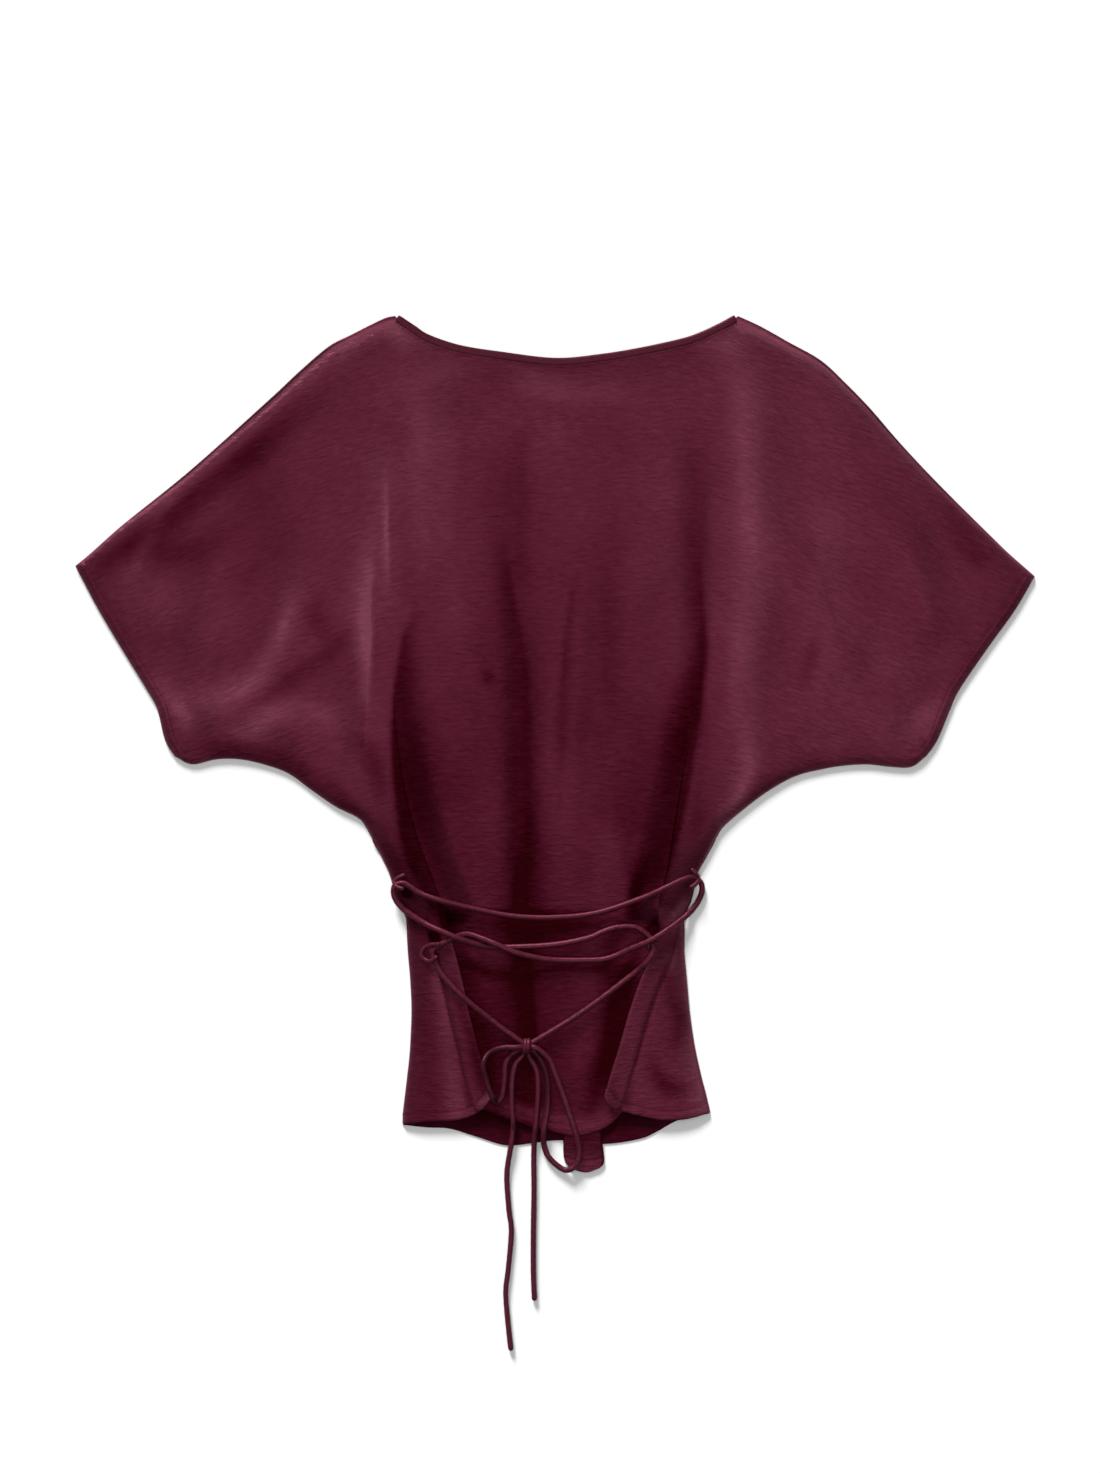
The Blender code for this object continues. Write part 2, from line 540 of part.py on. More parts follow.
def tie_cord(ground, collection):
    """The tie: lacing strands, legs, bow loops and tails, each stretch apart from the next."""
    # Columns: name, route, spacing of the points read from it
    stretches = [
        ("cord_upper_cross", CORD_UPPER_CROSS, 12.0),
        ("cord_left_turn", CORD_LEFT_TURN, 7.5),
        ("cord_right_turn", CORD_RIGHT_TURN, 7.5),
        ("cord_left_leg", CORD_LEFT_LEG, 9.0),
        ("cord_right_leg", CORD_RIGHT_LEG, 9.0),
        ("bow_loop_left", BOW_LEFT, 5.5),
        ("bow_loop_right", BOW_RIGHT, 8.0),
        ("tail_long", TAIL_LONG, 10.0),
        ("tail_short", TAIL_SHORT, 10.0),
    ]
    for name, points, spacing in stretches:
        tube(name, route(points, ground, CORD_DIAMETER / 2, spacing), CORD_DIAMETER, collection)


def tie_knot(ground, collection):
    """Plain rounded solid in the place of the bow's knot."""
    mesh = bpy.data.meshes.new("tie_knot")
    bm = bmesh.new()
    bmesh.ops.create_uvsphere(bm, u_segments=KNOT_TURNS, v_segments=KNOT_RINGS, radius=1.0)
    bed = ground.top(*KNOT, KNOT_HALF[0] * KNOT_BED_SHARE)
    middle = Vector((*KNOT, bed + SEAM_GAP + KNOT_HALF[2]))
    for vertex in bm.verts:
        vertex.co = Vector(c * half for c, half in zip(vertex.co, KNOT_HALF)) * MM
    bm.to_mesh(mesh)
    bm.free()
    mesh.shade_smooth()
    knot = add_object("tie_knot", mesh, CORD_SATIN, CORD_ROUGHNESS, collection)
    knot.location = middle * MM


def cord_loops(ground, collection):
    """Four thin cord loops: two in the side seams, two at the slit edges."""
    for name, points in (("loop_top_left", LOOP_TOP_LEFT), ("loop_top_right", LOOP_TOP_RIGHT),
                         ("loop_low_left", LOOP_LOW_LEFT), ("loop_low_right", LOOP_LOW_RIGHT)):
        laid = route(points, ground, LOOP_DIAMETER / 2, LOOP_DIAMETER)
        tube(name, laid, LOOP_DIAMETER, collection)


def main():
    for old in list(bpy.data.objects):
        bpy.data.objects.remove(old)
    collection = bpy.data.collections.new("tie_waist_top")
    bpy.context.scene.collection.children.link(collection)
    cloth = [front_panel(collection), front_pleat(collection), back_panel(collection)]
    bindings(collection)
    bpy.context.view_layer.update()
    ground = Ground(cloth)
    tie_cord(ground, collection)
    tie_knot(ground, collection)
    cord_loops(ground, collection)


main()
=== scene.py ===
"""Looks of a tie waist top: burgundy crepe-back satin, laid flat with its laced back upwards.

Tables are in millimetres: the neck points to +Y, the laced side to +Z, and the floor is at 0.
"""
from math import cos, hypot, pi, radians, sin

import bpy
import numpy as np
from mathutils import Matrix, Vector, noise
from mathutils.bvhtree import BVHTree


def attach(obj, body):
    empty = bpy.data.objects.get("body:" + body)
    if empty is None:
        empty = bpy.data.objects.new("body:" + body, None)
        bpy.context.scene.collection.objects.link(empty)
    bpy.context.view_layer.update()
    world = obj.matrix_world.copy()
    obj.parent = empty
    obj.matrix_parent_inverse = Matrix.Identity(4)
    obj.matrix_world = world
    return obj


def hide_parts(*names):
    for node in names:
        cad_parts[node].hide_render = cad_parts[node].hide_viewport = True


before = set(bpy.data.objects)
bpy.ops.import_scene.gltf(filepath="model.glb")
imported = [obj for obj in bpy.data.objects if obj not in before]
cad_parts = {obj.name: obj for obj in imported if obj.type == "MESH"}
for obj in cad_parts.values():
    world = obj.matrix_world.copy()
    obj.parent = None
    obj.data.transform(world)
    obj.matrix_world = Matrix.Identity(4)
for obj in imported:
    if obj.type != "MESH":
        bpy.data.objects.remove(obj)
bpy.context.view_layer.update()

MM = 0.001
BODY = "root"

# Camera: straight above, as the photograph looks down on the laid top
VIEW_CENTRE = (-3.9, 5.85)      # what the middle of the picture shows
VIEW_HEIGHT = 1148.9            # length of floor that the picture's long side takes in
LENS = 100.0
SENSOR = 36.0

# Cloth and its walls
FRONT_TOP = 1.3                 # lower face of the back where it lies on the front
BACK_WALL = 1.2
CLOTH_THICK = 0.55
HEM_THICK = 1.05
FRONT_THICK = 0.6
FRONT_LEAST = 0.3               # its wall at the thinnest, in the stitched groove
FRONT_INSET = 1.1               # how far its edge stays inside the back's at the seams
BODY_LOFT = 2.2
EDGE_ROLL = 3.6                 # how far from a seam or a cuff the loft has mostly risen
SIDE_ROLL = 9.0                 # the same, along the side seams
SIDE_ROLL_RUN = 40.0            # height over which it widens, below the armpits
NECK_ROLL = 30.0
NECK_LOFT = 0.3                 # share of the loft that is left at the neck
LOFT_UNEVEN = 0.7               # how much the loft swells and sinks
LOFT_BUMP = 46.0                # size of these bumps
LOFT_SEED = 3.1
FOLD_FADE = 0.25                # share of a fold's length over which each end fades
CREASE_FALL = 1.3               # how fast a creased fold falls away beside its crest
TAIL_SETTLE = 0.55              # share of its height that the centre loses below the slits
TAIL_SETTLE_RUN = 60.0
FLAP_STEP = 3.2                 # how far the flaps stand above the centre
FLAP_REACH = 34.0
DROP_RUN = 30.0                 # width over which the cloth falls from a flap's crest to the centre
DROP_MORE = 3.0                 # how far the crests stand above that step beside the waist
CREST_JOIN = 14.0               # height over which crest and centre part at a slit's top
SLIT_SHARE = 0.15               # share of the fall that is left there
TUCK = 11.0                     # how far the centre reaches under each flap
TUCK_RUN = 22.0
STEP_TOP_Y = 118.0
WAIST_Y = -60.0                 # where the crests stand highest, and how far that reaches
WAIST_REACH = 110.0
SEAM_ROUND = 1.5                # radius of the turned edge at a seam
SEAM_LOW = 0.4
SEAM_NEAR = 0.9                 # points this close to a seam are on it
SEAM_CLEAR = 0.02               # lowest that the back's lower face lies at a seam
UNDER_CLEAR = 0.75              # and elsewhere
LEAST_WALL = 0.12

# Turned hems and the flaps' facings
HEM_WIDTH = 8.0
HEM_STITCH = HEM_WIDTH - 0.4    # from the edge to the line of stitches
HEM_BLEND = 2.0
FACING_WIDTH = 16.0
FACING_FADE = 16.0              # height over which the facing starts, below the slit's top
# Columns: width, stitches from the edge, second ply's height, width of its step, groove's depth,
# its half width, drop at the edge, how fast that fades.
HEM_EDGE = (HEM_WIDTH, HEM_STITCH, 0.4, 1.2, 0.35, 0.8, 0.3, 0.5)
FACING_EDGE = (FACING_WIDTH, FACING_WIDTH, 0.35, 1.6, 0.45, 1.2, 0.4, 0.6)
PUCKER_HEIGHT = 0.16
PUCKER_SHORT = 2.3              # two waves along the hem, which make its puckers uneven
PUCKER_LONG = 7.1
PUCKER_IN = 6.0                 # from the edge to the middle of the puckers
PUCKER_REACH = 4.0
CUFF_LENGTH = 170.0             # lengths that the puckers are measured along
FLAP_HEM_LENGTH = 100.0
FRONT_HEM_LENGTH = 260.0

# Neck binding
BINDING_WIDTH = 6.2
BINDING_THICK = 2.3
BINDING_HIGH = 2.65             # middle of the strip on the back's edge
BINDING_FRONT_THICK = 0.9
BINDING_LOW = 0.48              # middle of the strip on the front's edge
BINDING_STEPS = 190
BINDING_ENDS = 0.003            # share of the neckline that is left to the turn at each end
BINDING_TURN_STEPS = 9
BINDING_TURN_OUT = 0.4          # how far that turn leans out towards the shoulder
BINDING_SQUARE = (0.35, 0.3)    # how much squarer than an ellipse, across and up
BINDING_PUCKER = 0.06           # share of its thickness, in two waves along it
BINDING_WAVES = (2.1, 6.7)
BINDING_SMOOTH = 9              # points over which its thickness changes
LEAST_TURN = 0.01
BINDING_SIDES = 16

# Stitches
STITCH_PITCH = 2.9
STITCH_LONG = 2.2
STITCH_RISE = 0.28              # share of the thread's thickness that a stitch stands up
NECK_STITCH = 1.1               # from the binding to the stitches below it
THREAD = 0.42
THREAD_SIDES = 6
# Rings of one stitch. Columns: share of its length, share of its thickness.
STITCH_RINGS = [(0.0, 0.5), (0.2, 1.0), (0.8, 1.0), (1.0, 0.5)]

# Spare width folded at the middle of the front hem
FOLD_LOW = 1.3                  # middle of its lower ply, where it lies on the front
FOLD_REST = 0.55                # and where it lies on the floor
FOLD_EDGE_Y = -322.0            # where it comes down from the front's hem
FOLD_EDGE_RUN = 12.0
FOLD_ROLL = 0.62                # radius of its folded edge
FOLD_ROWS = 40
FOLD_COLUMNS = 22
FOLD_CROWD = 1.6                # how much the columns crowd at the folded edge
FOLD_WALL = 0.5
FOLD_SHIFT = 0.4                # how far the lower ply is off the upper one at the hem
# Ripples of its upper ply. Columns: x, half width, height.
FOLD_RIPPLES = [(15.0, 5.0, 0.55), (31.0, 4.0, 0.3)]
FOLD_END_Y = -334.0
FOLD_RIPPLE_RUN = 20.0
FOLD_HEM = 0.72                 # share of its length where its own hem starts
FOLD_HEM_STEP = 0.05
FOLD_HEM_GROOVE = 0.03
FOLD_HEM_PLY = 0.3
FOLD_TONES = (0.3, 0.34)        # tone in the front hem's shade, and how much lighter at its end
FOLD_TONE_Y = -306.0
FOLD_TONE_RUN = 24.0
FOLD_STITCHES = [(10, -323), (20.3, -324.5), (32, -322.9), (36, -320)]

# Places
NECK_Y = 334.0
ARMPIT_Y = -73.0
SLEEVE_MIDDLE_Y = 60.0
SLIT_TOP_Y = -139.0
FLAP_CORNER_Y = -274.0
TAILS_Y = -285.0                # about where the tails end
LEFT_SEAM_END = (-119, -296)
RIGHT_SEAM_END = (121, -287)
HEM_SHAPE_SHARE = 0.37          # share of the tails' length that takes on the hem's shape
TAIL_LENGTH = 140.0

# Grid of the cloth: distances of its closest rows and columns from a seam, a hem, a flap's edge
# and the centre's edge, then how many more there are
SEAM_STEPS = (0.0, 0.5, 1.2, 2.2, 4.0)
HEM_STEPS = (10.0, 8.7, 7.8, 7.0, 5.4, 3.4, 1.6, 0.6, 0.0)
FACING_STEPS = (19.0, 17.2, 16.0, 14.8, 12.0, 9.0, 6.0, 3.5, 1.6, 0.6, 0.0)
EDGE_STEPS = (0.0, 0.8, 2.0)
NARROWEST = 42.0                # where the cloth is narrower, these distances shrink
UPPER_STEPS = 104
WAIST_STEPS = 22
TAIL_STEPS = 48
SLEEVE_STEPS = 58
SIDE_STEPS = 9
CENTRE_STEPS = 66
FRONT_TAIL_STEPS = 40
FRONT_TAIL_LENGTH = 334.0       # more than it is, so that its hem's rows crowd at the edge
FRONT_COLUMNS = 72
FLAP_EDGE_POINTS = 24
CURVE_STEPS = 6
CROWD_POINTS = 400
# Where columns crowd. Columns: share across, reach, how much more.
CENTRE_CROWDS = [(0.0, 0.1, 1.6), (0.41, 0.07, 1.4), (0.57, 0.05, 1.0), (1.0, 0.1, 1.6)]
SLEEVE_CROWDS = [(0.0, 0.14, 1.8)]

# The weave's run, in metres: out in the sleeves it fans, from FAN_START off the middle
FAN_START = 0.1
FAN_SLOPE = 0.35
FAN_EASE = 0.06

# Sections across the body. Columns: y, body's left edge, left crest, right crest, right edge.
BODY_SECTIONS = [
    (334, -124.8, -115, 127, 142.5), (245, -128, -120, 115, 160), (190, -130, -121, 114, 167),
    (112, -141, -126, 113, 168), (34, -147, -126, 110, 158), (-28, -149, -119, 99, 141),
    (-73, -143, -108, 92, 126), (-87, -136, -103, 90, 119), (-102, -129, -97, 87, 111),
    (-113, -126, -93, 84, 108.8), (-122, -124, -89, 82, 106.6), (-137, -116, -85, 81, 101),
    (-160, -115, -78, 76, 101), (-184, -113, -72, 66, 103), (-207, -112, -67, 58, 105),
    (-235, -113, -60, 50, 109), (-262, -115.5, -54, 42, 115), (-276, -117, -50, 38, 118.6),
    (-290, -118.4, -47, 35, 121.3), (-310, -119, -44, 33, 122),
]

# Outlines, as the solids have them. Columns: x, y.
NECKLINE = [(-121, 334), (-109, 326), (-98, 319), (-74, 311), (-43, 306), (0, 301),
            (35, 304), (66, 309), (98, 316), (113, 321), (128, 328), (139, 334)]
FRONT_NECK_DROP = 9.0
LEFT_SHOULDER = [(-124.8, 328.6), (-134, 326.5), (-160, 314), (-176, 306), (-199, 287),
                 (-222, 266), (-285, 211), (-339, 169), (-363, 148), (-374, 139)]
LEFT_CUFF = [(-374, 139), (-356, 105), (-337, 73), (-318, 42), (-310, 27), (-304, 3),
             (-296, -10)]
LEFT_UNDERARM = [(-143, -73), (-152, -59), (-171, -49), (-190, -36), (-208, -23), (-227, -16),
                 (-246, -12), (-264, -12), (-283, -16), (-296, -10)]
RIGHT_SHOULDER = [(142.5, 328.2), (160, 320.5), (183, 308), (207, 295), (226, 278), (246, 258),
                  (269, 232), (300, 200), (347, 155), (374, 131)]
RIGHT_CUFF = [(374, 131), (359, 105), (336, 73), (315, 42), (308, 27), (298, 3), (289, -10)]
RIGHT_UNDERARM = [(126, -73), (132, -64), (151, -48), (169, -35), (188, -25), (207, -20),
                  (225, -17), (244, -16), (263, -18), (278, -18), (289, -10)]
LEFT_FLAP_HEM = [(-119, -296), (-95, -294), (-78, -293), (-66, -290), (-55, -283), (-49, -274)]
CENTRE_HEM = [(-66, -281), (-49, -288), (-17, -299), (5, -304), (16, -306), (29, -303),
              (41, -298), (50, -290), (58, -280)]
RIGHT_FLAP_HEM = [(38, -274), (44, -283), (68, -290), (86, -293), (104, -292), (121, -287)]
FRONT_HEM = [(-119, -297), (-100, -299), (-82, -300), (-62, -306), (-38, -313), (-16, -311),
             (5, -309), (37, -312), (66, -308), (80, -302), (97, -293), (121, -288)]
FRONT_TAB = [(7, -298), (7, -322), (12, -331), (24, -334), (34, -331), (38, -326), (37, -312),
             (36, -298)]

# Folds of the back.
# Columns: name, points along the crest, height (below 0 is a trough), width to the left of the
# crest, width to its right, sharpness (0 is rounded, 1 is creased).
FOLDS = [
    ("left crease", [(-127, 262), (-129, 190), (-140, 112), (-145, 60), (-148, 3), (-146, -40)],
     1.5, 15, 10, 0.6),
    ("centre valley", [(-43, 205), (-31, 112), (-27, 34), (-26, -122), (-23, -290)],
     -1.2, 10, 9, 0.0),
    ("left of valley", [(-62, 215), (-53, 112), (-49, 0), (-47, -150)], 1.1, 18, 16, 0.0),
    ("centre ridge", [(16, 235), (12, 81), (3, -44), (0, -150)], 1.3, 22, 22, 0.0),
    ("second ridge", [(62, 215), (60, 60), (47, -60), (40, -150)], 1.0, 20, 17, 0.0),
    ("right valley", [(113, 290), (112, 190), (110, 81), (96, -12), (78, -98)], -1.6, 14, 8, 0.0),
    ("right crease", [(140, 318), (150, 190), (146, 81), (136, -8), (118, -60)], 2.2, 17, 26, 0.0),
    ("left neck fold", [(-78, 300), (-84, 220), (-88, 120)], 1.5, 16, 14, 0.0),
    ("left sleeve fold", [(-176, 160), (-200, 90), (-232, 30)], 1.8, 19, 18, 0.1),
    ("left outer fold", [(-250, 190), (-268, 120), (-280, 60)], 1.7, 18, 18, 0.0),
    ("left arm roll", [(-172, -12), (-215, 20), (-262, 24), (-292, 18)], 2.2, 15, 19, 0.0),
    ("right sleeve fold", [(190, 170), (214, 95), (235, 40)], 1.4, 20, 19, 0.1),
    ("right outer fold", [(262, 190), (284, 120), (290, 66)], 1.7, 18, 18, 0.0),
    ("right arm roll", [(166, 6), (206, 20), (250, 24), (284, 18)], 1.2, 24, 20, 0.0),
    ("fine centre valley", [(16, 128), (10, 70), (4, 0), (-2, -60), (-8, -96)], -0.9, 5, 6, 0.2),
    ("third valley", [(36, 130), (34, 60), (26, -20), (20, -110)], -0.5, 9, 8, 0.0),
    ("waist star", [(-70, 88), (-58, 62), (-44, 40)], -0.9, 6, 6, 0.4),
    ("waist star across", [(-74, 70), (-62, 60), (-46, 58)], -0.5, 4, 5, 0.4),
    ("left arm crease", [(-186, 95), (-204, 66), (-226, 42)], -0.8, 9, 10, 0.2),
    ("left arm line", [(-156, 88), (-186, 60), (-222, 38), (-246, 26)], -0.5, 3.5, 3.5, 0.6),
    ("right arm crease", [(210, 128), (222, 98), (232, 74)], -0.4, 8, 9, 0.1),
    ("tail over the front fold", [(18, -230), (22, -275), (24, -340)], 2.4, 22, 16, 0.0),
    ("left shoulder dip", [(-150, 302), (-205, 256), (-262, 206), (-330, 150)], -1.3, 8, 10, 0.0),
    ("nape crease", [(8, 262), (16, 250), (13, 240)], -0.4, 3, 3, 0.6),
]

# Painted light and shade of the back: strokes that lighten or darken its tone where the cloth turns to or
# from the light, and painted shadows under the cords and flaps and in the recesses.
# side: -1 and 1 are the flaps, 0 the centre between the slits, None all of the back.
# Columns: name, side, points of the stroke. Columns of a point: x, y, change (below 0 is darker),
# width to the stroke's left, width to its right.
LEVEL_TONE = 0.6
EDGE_PAINTED_LIGHT = 0.4                 # painted highlight along a seam's rolled edge, over EDGE_REACH
EDGE_REACH = 2.6
GROOVE_PAINTED_SHADE = 0.16              # painted shade along a line of stitches, in its groove
GROOVE_WIDTH = 0.9
FRONT_TONE = 0.22               # painted shade of the front: its tone at the hem, deeper up inside under the back
FRONT_SHADE = 15.0
PAINTED_SHADING = [
    ("centre shade", None, [(-30, 250, 0, 60, 60), (-29, 150, -0.13, 66, 66), (-28, 60, -0.25, 66, 74),
        (-26, -60, -0.38, 66, 76), (-26, -128, -0.4, 62, 70), (-26, -165, 0, 50, 50)]),
    ("tail shade", 0, [(-26, -125, 0, 60, 60), (-26, -160, -0.4, 66, 66), (-26, -420, -0.4, 66, 66)]),
    ("left fall", None, [(-107, 112, 0, 3, 5), (-112, 94, -0.2, 3, 7), (-117, 81, -0.36, 3, 9),
        (-123, 42, -0.46, 3, 20), (-125, 3, -0.5, 3, 28), (-122, -44, -0.52, 3, 30),
        (-115, -83, -0.46, 4, 24), (-101, -114, -0.34, 4, 20), (-88, -136, -0.2, 5, 10),
        (-82, -152, 0, 4, 6)]),
    ("centre valley", None, [(-38, 262, 0, 12, 12), (-40, 215, -0.06, 12, 10),
        (-40.6, 160, -0.12, 9, 6), (-33.5, 116, -0.2, 10, 3.5), (-27.3, 81, -0.2, 12, 4),
        (-23.4, 42, -0.2, 13, 5), (-22.6, -44, -0.16, 14, 7), (-23.4, -122, -0.13, 14, 8),
        (-23, -190, -0.16, 12, 9), (-23, -420, -0.16, 12, 12)]),
    ("right fall", None, [(113, 262, 0, 12, 8), (113, 230, -0.1, 14, 6), (112.5, 128, -0.36, 12, 4),
        (116, 81, -0.46, 12, 3.5), (114, 50, -0.5, 16, 3.5), (108, 5, -0.5, 24, 4),
        (100, -44, -0.5, 28, 3), (89, -86, -0.5, 24, 5), (79, -116, -0.3, 16, 5), (76, -135, 0, 8, 4)]),
    ("right low fall", None, [(74, -80, 0, 8, 8), (66, -100, -0.25, 8, 8), (62.5, -114, -0.5, 6, 6),
        (61, -126, -0.5, 6, 6), (58, -138, -0.3, 8, 8), (54, -152, 0, 8, 8)]),
    ("waist valley", None, [(-26, -84, 0, 3, 3), (-27, -112, -0.3, 5, 4), (-26.8, -125, -0.5, 5, 4),
        (-26, -136, -0.3, 5, 4), (-25, -165, -0.34, 6, 5), (-24.5, -185, -0.44, 6, 5),
        (-20, -215, -0.4, 5, 4), (-19, -236, -0.3, 5, 5), (-20, -262, 0, 5, 5)]),
    ("under the upper crossing", None, [(-18, -137, 0, 3, 4), (4, -142, -0.2, 4, 5),
        (28, -141, -0.2, 4, 5), (44, -136, 0, 3, 4)]),
    ("under the lower crossing", None, [(-80, -164, 0, 3, 4), (-66, -172, -0.2, 5, 5),
        (-48, -179, -0.22, 5, 5), (-24, -180, -0.12, 5, 5), (4, -174, -0.2, 4, 5),
        (34, -174, -0.24, 4, 5), (50, -166, 0, 3, 4)]),
    ("fine centre valley", None, [(18, 136, 0, 3, 3), (13, 112, -0.14, 3, 3), (9, 81, -0.16, 2, 4),
        (6, 34, -0.16, 3, 4), (4, -12, -0.14, 3, 4), (0, -40, 0, 3, 3)]),
    ("third valley", None, [(43, 150, 0, 8, 6), (41, 90, -0.07, 9, 7), (39, 30, 0, 8, 6)]),
    ("waist star", None, [(-58, 58, 0, 3, 3), (-52, 52, -0.24, 6, 5), (-46, 44, 0, 4, 4)]),
    ("left of centre light", None, [(-78, 150, 0, 14, 16), (-76, 100, 0.16, 14, 20),
        (-72, 70, 0.06, 12, 16), (-70, 40, 0, 12, 14)]),
    ("centre ridge light", None, [(-4, 112, 0, 10, 16), (-4, 30, 0.13, 11, 18), (0, -44, 0.2, 12, 24),
        (2, -100, 0.2, 12, 24), (0, -150, 0, 10, 18)]),
    ("left upper light", None, [(-110, 292, 0, 12, 22), (-106, 262, 0.14, 12, 22),
        (-102, 200, 0.14, 12, 24), (-102, 150, 0.12, 12, 22), (-110, 118, 0, 8, 12)]),
    ("centre light", None, [(-22, 280, 0.1, 10, 12), (-4, 262, 0.04, 14, 14), (-4, 120, 0.04, 14, 13),
        (-4, 60, 0, 10, 10)]),
    ("low centre light", None, [(-52, 20, 0, 12, 14), (-50, -30, 0.13, 14, 16),
        (-48, -100, 0.16, 18, 16), (-48, -150, 0.16, 18, 16), (-48, -200, 0, 12, 12)]),
    ("low right light", None, [(34, -50, 0, 10, 10), (42, -80, 0.16, 12, 12), (40, -104, 0.16, 12, 10),
        (30, -130, 0, 10, 10)]),
    ("right of centre shade", None, [(62, 96, 0, 24, 20), (62, 30, -0.1, 26, 24),
        (56, -60, -0.14, 26, 22), (50, -116, 0, 20, 18)]),
    ("left shoulder band", None, [(-172, 288, 0, 6, 9), (-210, 255, -0.2, 8, 12),
        (-238, 229, -0.34, 8, 13), (-261, 211, -0.34, 8, 13), (-291, 186, -0.36, 8, 12),
        (-322, 162, -0.38, 9, 14), (-352, 140, -0.24, 8, 10)]),
    ("left sleeve shade", None, [(-318, 156, 0, 10, 12), (-304, 148, -0.26, 11, 13),
        (-276, 152, -0.24, 14, 14), (-248, 176, -0.12, 14, 14), (-230, 206, 0, 12, 12)]),
    ("left crease line", None, [(-131.8, 222, 0, 3, 2), (-131, 192, 0.2, 4, 1.6),
        (-130.3, 140, 0.2, 4, 1.6), (-130, 118, 0, 2, 1.5)]),
    ("left crease field", None, [(-136, 250, 0, 16, 16), (-134, 200, 0.14, 18, 16),
        (-134, 140, 0.16, 18, 13), (-132, 96, 0, 14, 8)]),
    ("left crease", None, [(-140, 186, 0, 8, 4), (-143, 150, 0.14, 12, 5), (-145, 120, 0.34, 12, 3.5),
        (-145, 81, 0.46, 11, 3), (-146, 48, 0.3, 7, 3), (-147, 20, 0, 4, 2)]),
    ("right ridge", None, [(140, 318, 0, 12, 14), (146, 270, 0.24, 14, 17), (150, 200, 0.3, 15, 17),
        (154, 150, 0.3, 17, 17), (154, 112, 0.2, 16, 16), (150, 60, 0.12, 10, 14),
        (150, 10, 0.2, 9, 12), (148, -30, 0.34, 10, 8), (132, -60, 0.26, 7, 7), (118, -96, 0.1, 6, 6)]),
    ("right fall line", None, [(104, 60, 0, 8, 8), (96, 24, -0.14, 12, 10), (92, -6, -0.2, 12, 9),
        (86, -30, -0.1, 10, 8), (80, -50, 0, 8, 8)]),
    ("left cuff top light", None, [(-340, 150, 0, 8, 8), (-330, 136, 0.18, 8, 8),
        (-306, 182, 0.16, 6, 6), (-290, 200, 0, 6, 6)]),
    ("right waist shade", None, [(114, 40, 0, 4, 8), (115, 8, -0.18, 5, 9), (112, -36, -0.1, 7, 8),
        (110, -62, -0.24, 8, 9), (100, -100, 0, 8, 8)]),
    ("left cuff light", None, [(-342, 130, 0, 16, 16), (-310, 112, 0.1, 18, 20),
        (-270, 98, 0, 16, 16)]),
    ("left arm light", None, [(-306, 30, 0, 12, 12), (-272, 34, 0.24, 12, 14), (-240, 44, 0.36, 12, 14),
        (-222, 70, 0.26, 9, 8), (-212, 92, 0.34, 9, 7), (-200, 126, 0.1, 9, 9), (-192, 150, 0, 9, 9)]),
    ("left arm crease", None, [(-152, 96, 0, 3, 3), (-170, 76, -0.2, 6, 9), (-196, 58, -0.24, 8, 10),
        (-222, 40, -0.2, 7, 9), (-250, 26, 0, 5, 6)]),
    ("left inner sleeve", None, [(-182, 122, 0, 8, 8), (-186, 100, -0.2, 8, 10),
        (-176, 84, -0.16, 10, 12), (-170, 70, 0, 10, 10)]),
    ("left waist light", None, [(-256, 16, 0, 8, 8), (-238, 10, 0.26, 10, 10), (-214, 26, 0.24, 10, 11),
        (-184, 24, 0.08, 10, 11), (-150, 36, 0.08, 9, 9), (-132, 60, 0, 8, 8)]),
    ("left side shade", None, [(-176, 24, 0, 8, 8), (-162, 8, -0.18, 9, 9), (-146, -6, -0.3, 9, 9),
        (-138, -28, -0.22, 8, 8), (-134, -50, 0, 8, 8)]),
    ("left sleeve crease shade", None, [(-262, 240, 0, 10, 10), (-232, 206, -0.1, 20, 24),
        (-226, 150, -0.12, 16, 20), (-262, 110, 0, 12, 12)]),
    ("left underarm light", None, [(-200, 26, 0, 10, 10), (-180, 20, 0.16, 12, 12),
        (-156, 6, 0.14, 10, 10), (-150, -20, 0, 8, 8)]),
    ("left arm underside", None, [(-300, -6, 0, 8, 5), (-262, -2, -0.26, 9, 6), (-225, -6, -0.26, 9, 6),
        (-190, -22, -0.2, 9, 6), (-160, -46, -0.2, 8, 6), (-142, -70, 0, 6, 5)]),
    ("right sleeve light", None, [(196, 210, 0, 14, 14), (212, 150, 0.12, 14, 16),
        (226, 110, 0.02, 14, 14), (232, 80, -0.06, 12, 12), (238, 50, 0, 10, 10)]),
    ("right upper field", None, [(146, 268, 0, 20, 20), (164, 240, 0.03, 24, 40),
        (184, 190, 0.06, 30, 40), (178, 150, 0, 20, 30)]),
    ("right lower field", None, [(180, 130, 0, 20, 20), (206, 96, 0.08, 30, 40),
        (240, 50, 0.06, 40, 50), (262, 10, 0.04, 40, 40), (270, -20, 0.04, 30, 30)]),
    ("right underarm light", None, [(140, 110, 0, 8, 8), (141, 60, 0.13, 7, 9), (142, 0, 0.06, 8, 12),
        (168, -18, 0.08, 9, 9), (200, -6, 0.12, 9, 9), (230, -2, 0, 9, 9)]),
    ("right stroke", None, [(204, 88, 0, 5, 6), (198, 64, -0.2, 5, 6), (190, 40, 0, 5, 6)]),
    ("right cuff band", None, [(346, 150, 0, 8, 8), (328, 146, -0.18, 10, 10),
        (310, 176, -0.14, 10, 12), (286, 205, 0, 8, 8)]),
    ("right cuff corner light", None, [(232, 20, 0, 10, 10), (264, 14, 0.06, 12, 12),
        (292, 22, 0.28, 12, 13), (314, 48, 0, 9, 9)]),
    ("right arm underside", None, [(280, -8, 0, 6, 8), (230, -6, -0.04, 6, 9), (190, -12, -0.18, 7, 9),
        (164, -26, -0.12, 6, 9), (144, -46, 0, 5, 7)]),
    ("left neck light", None, [(-150, 262, 0, 12, 12), (-104, 290, 0.12, 12, 12),
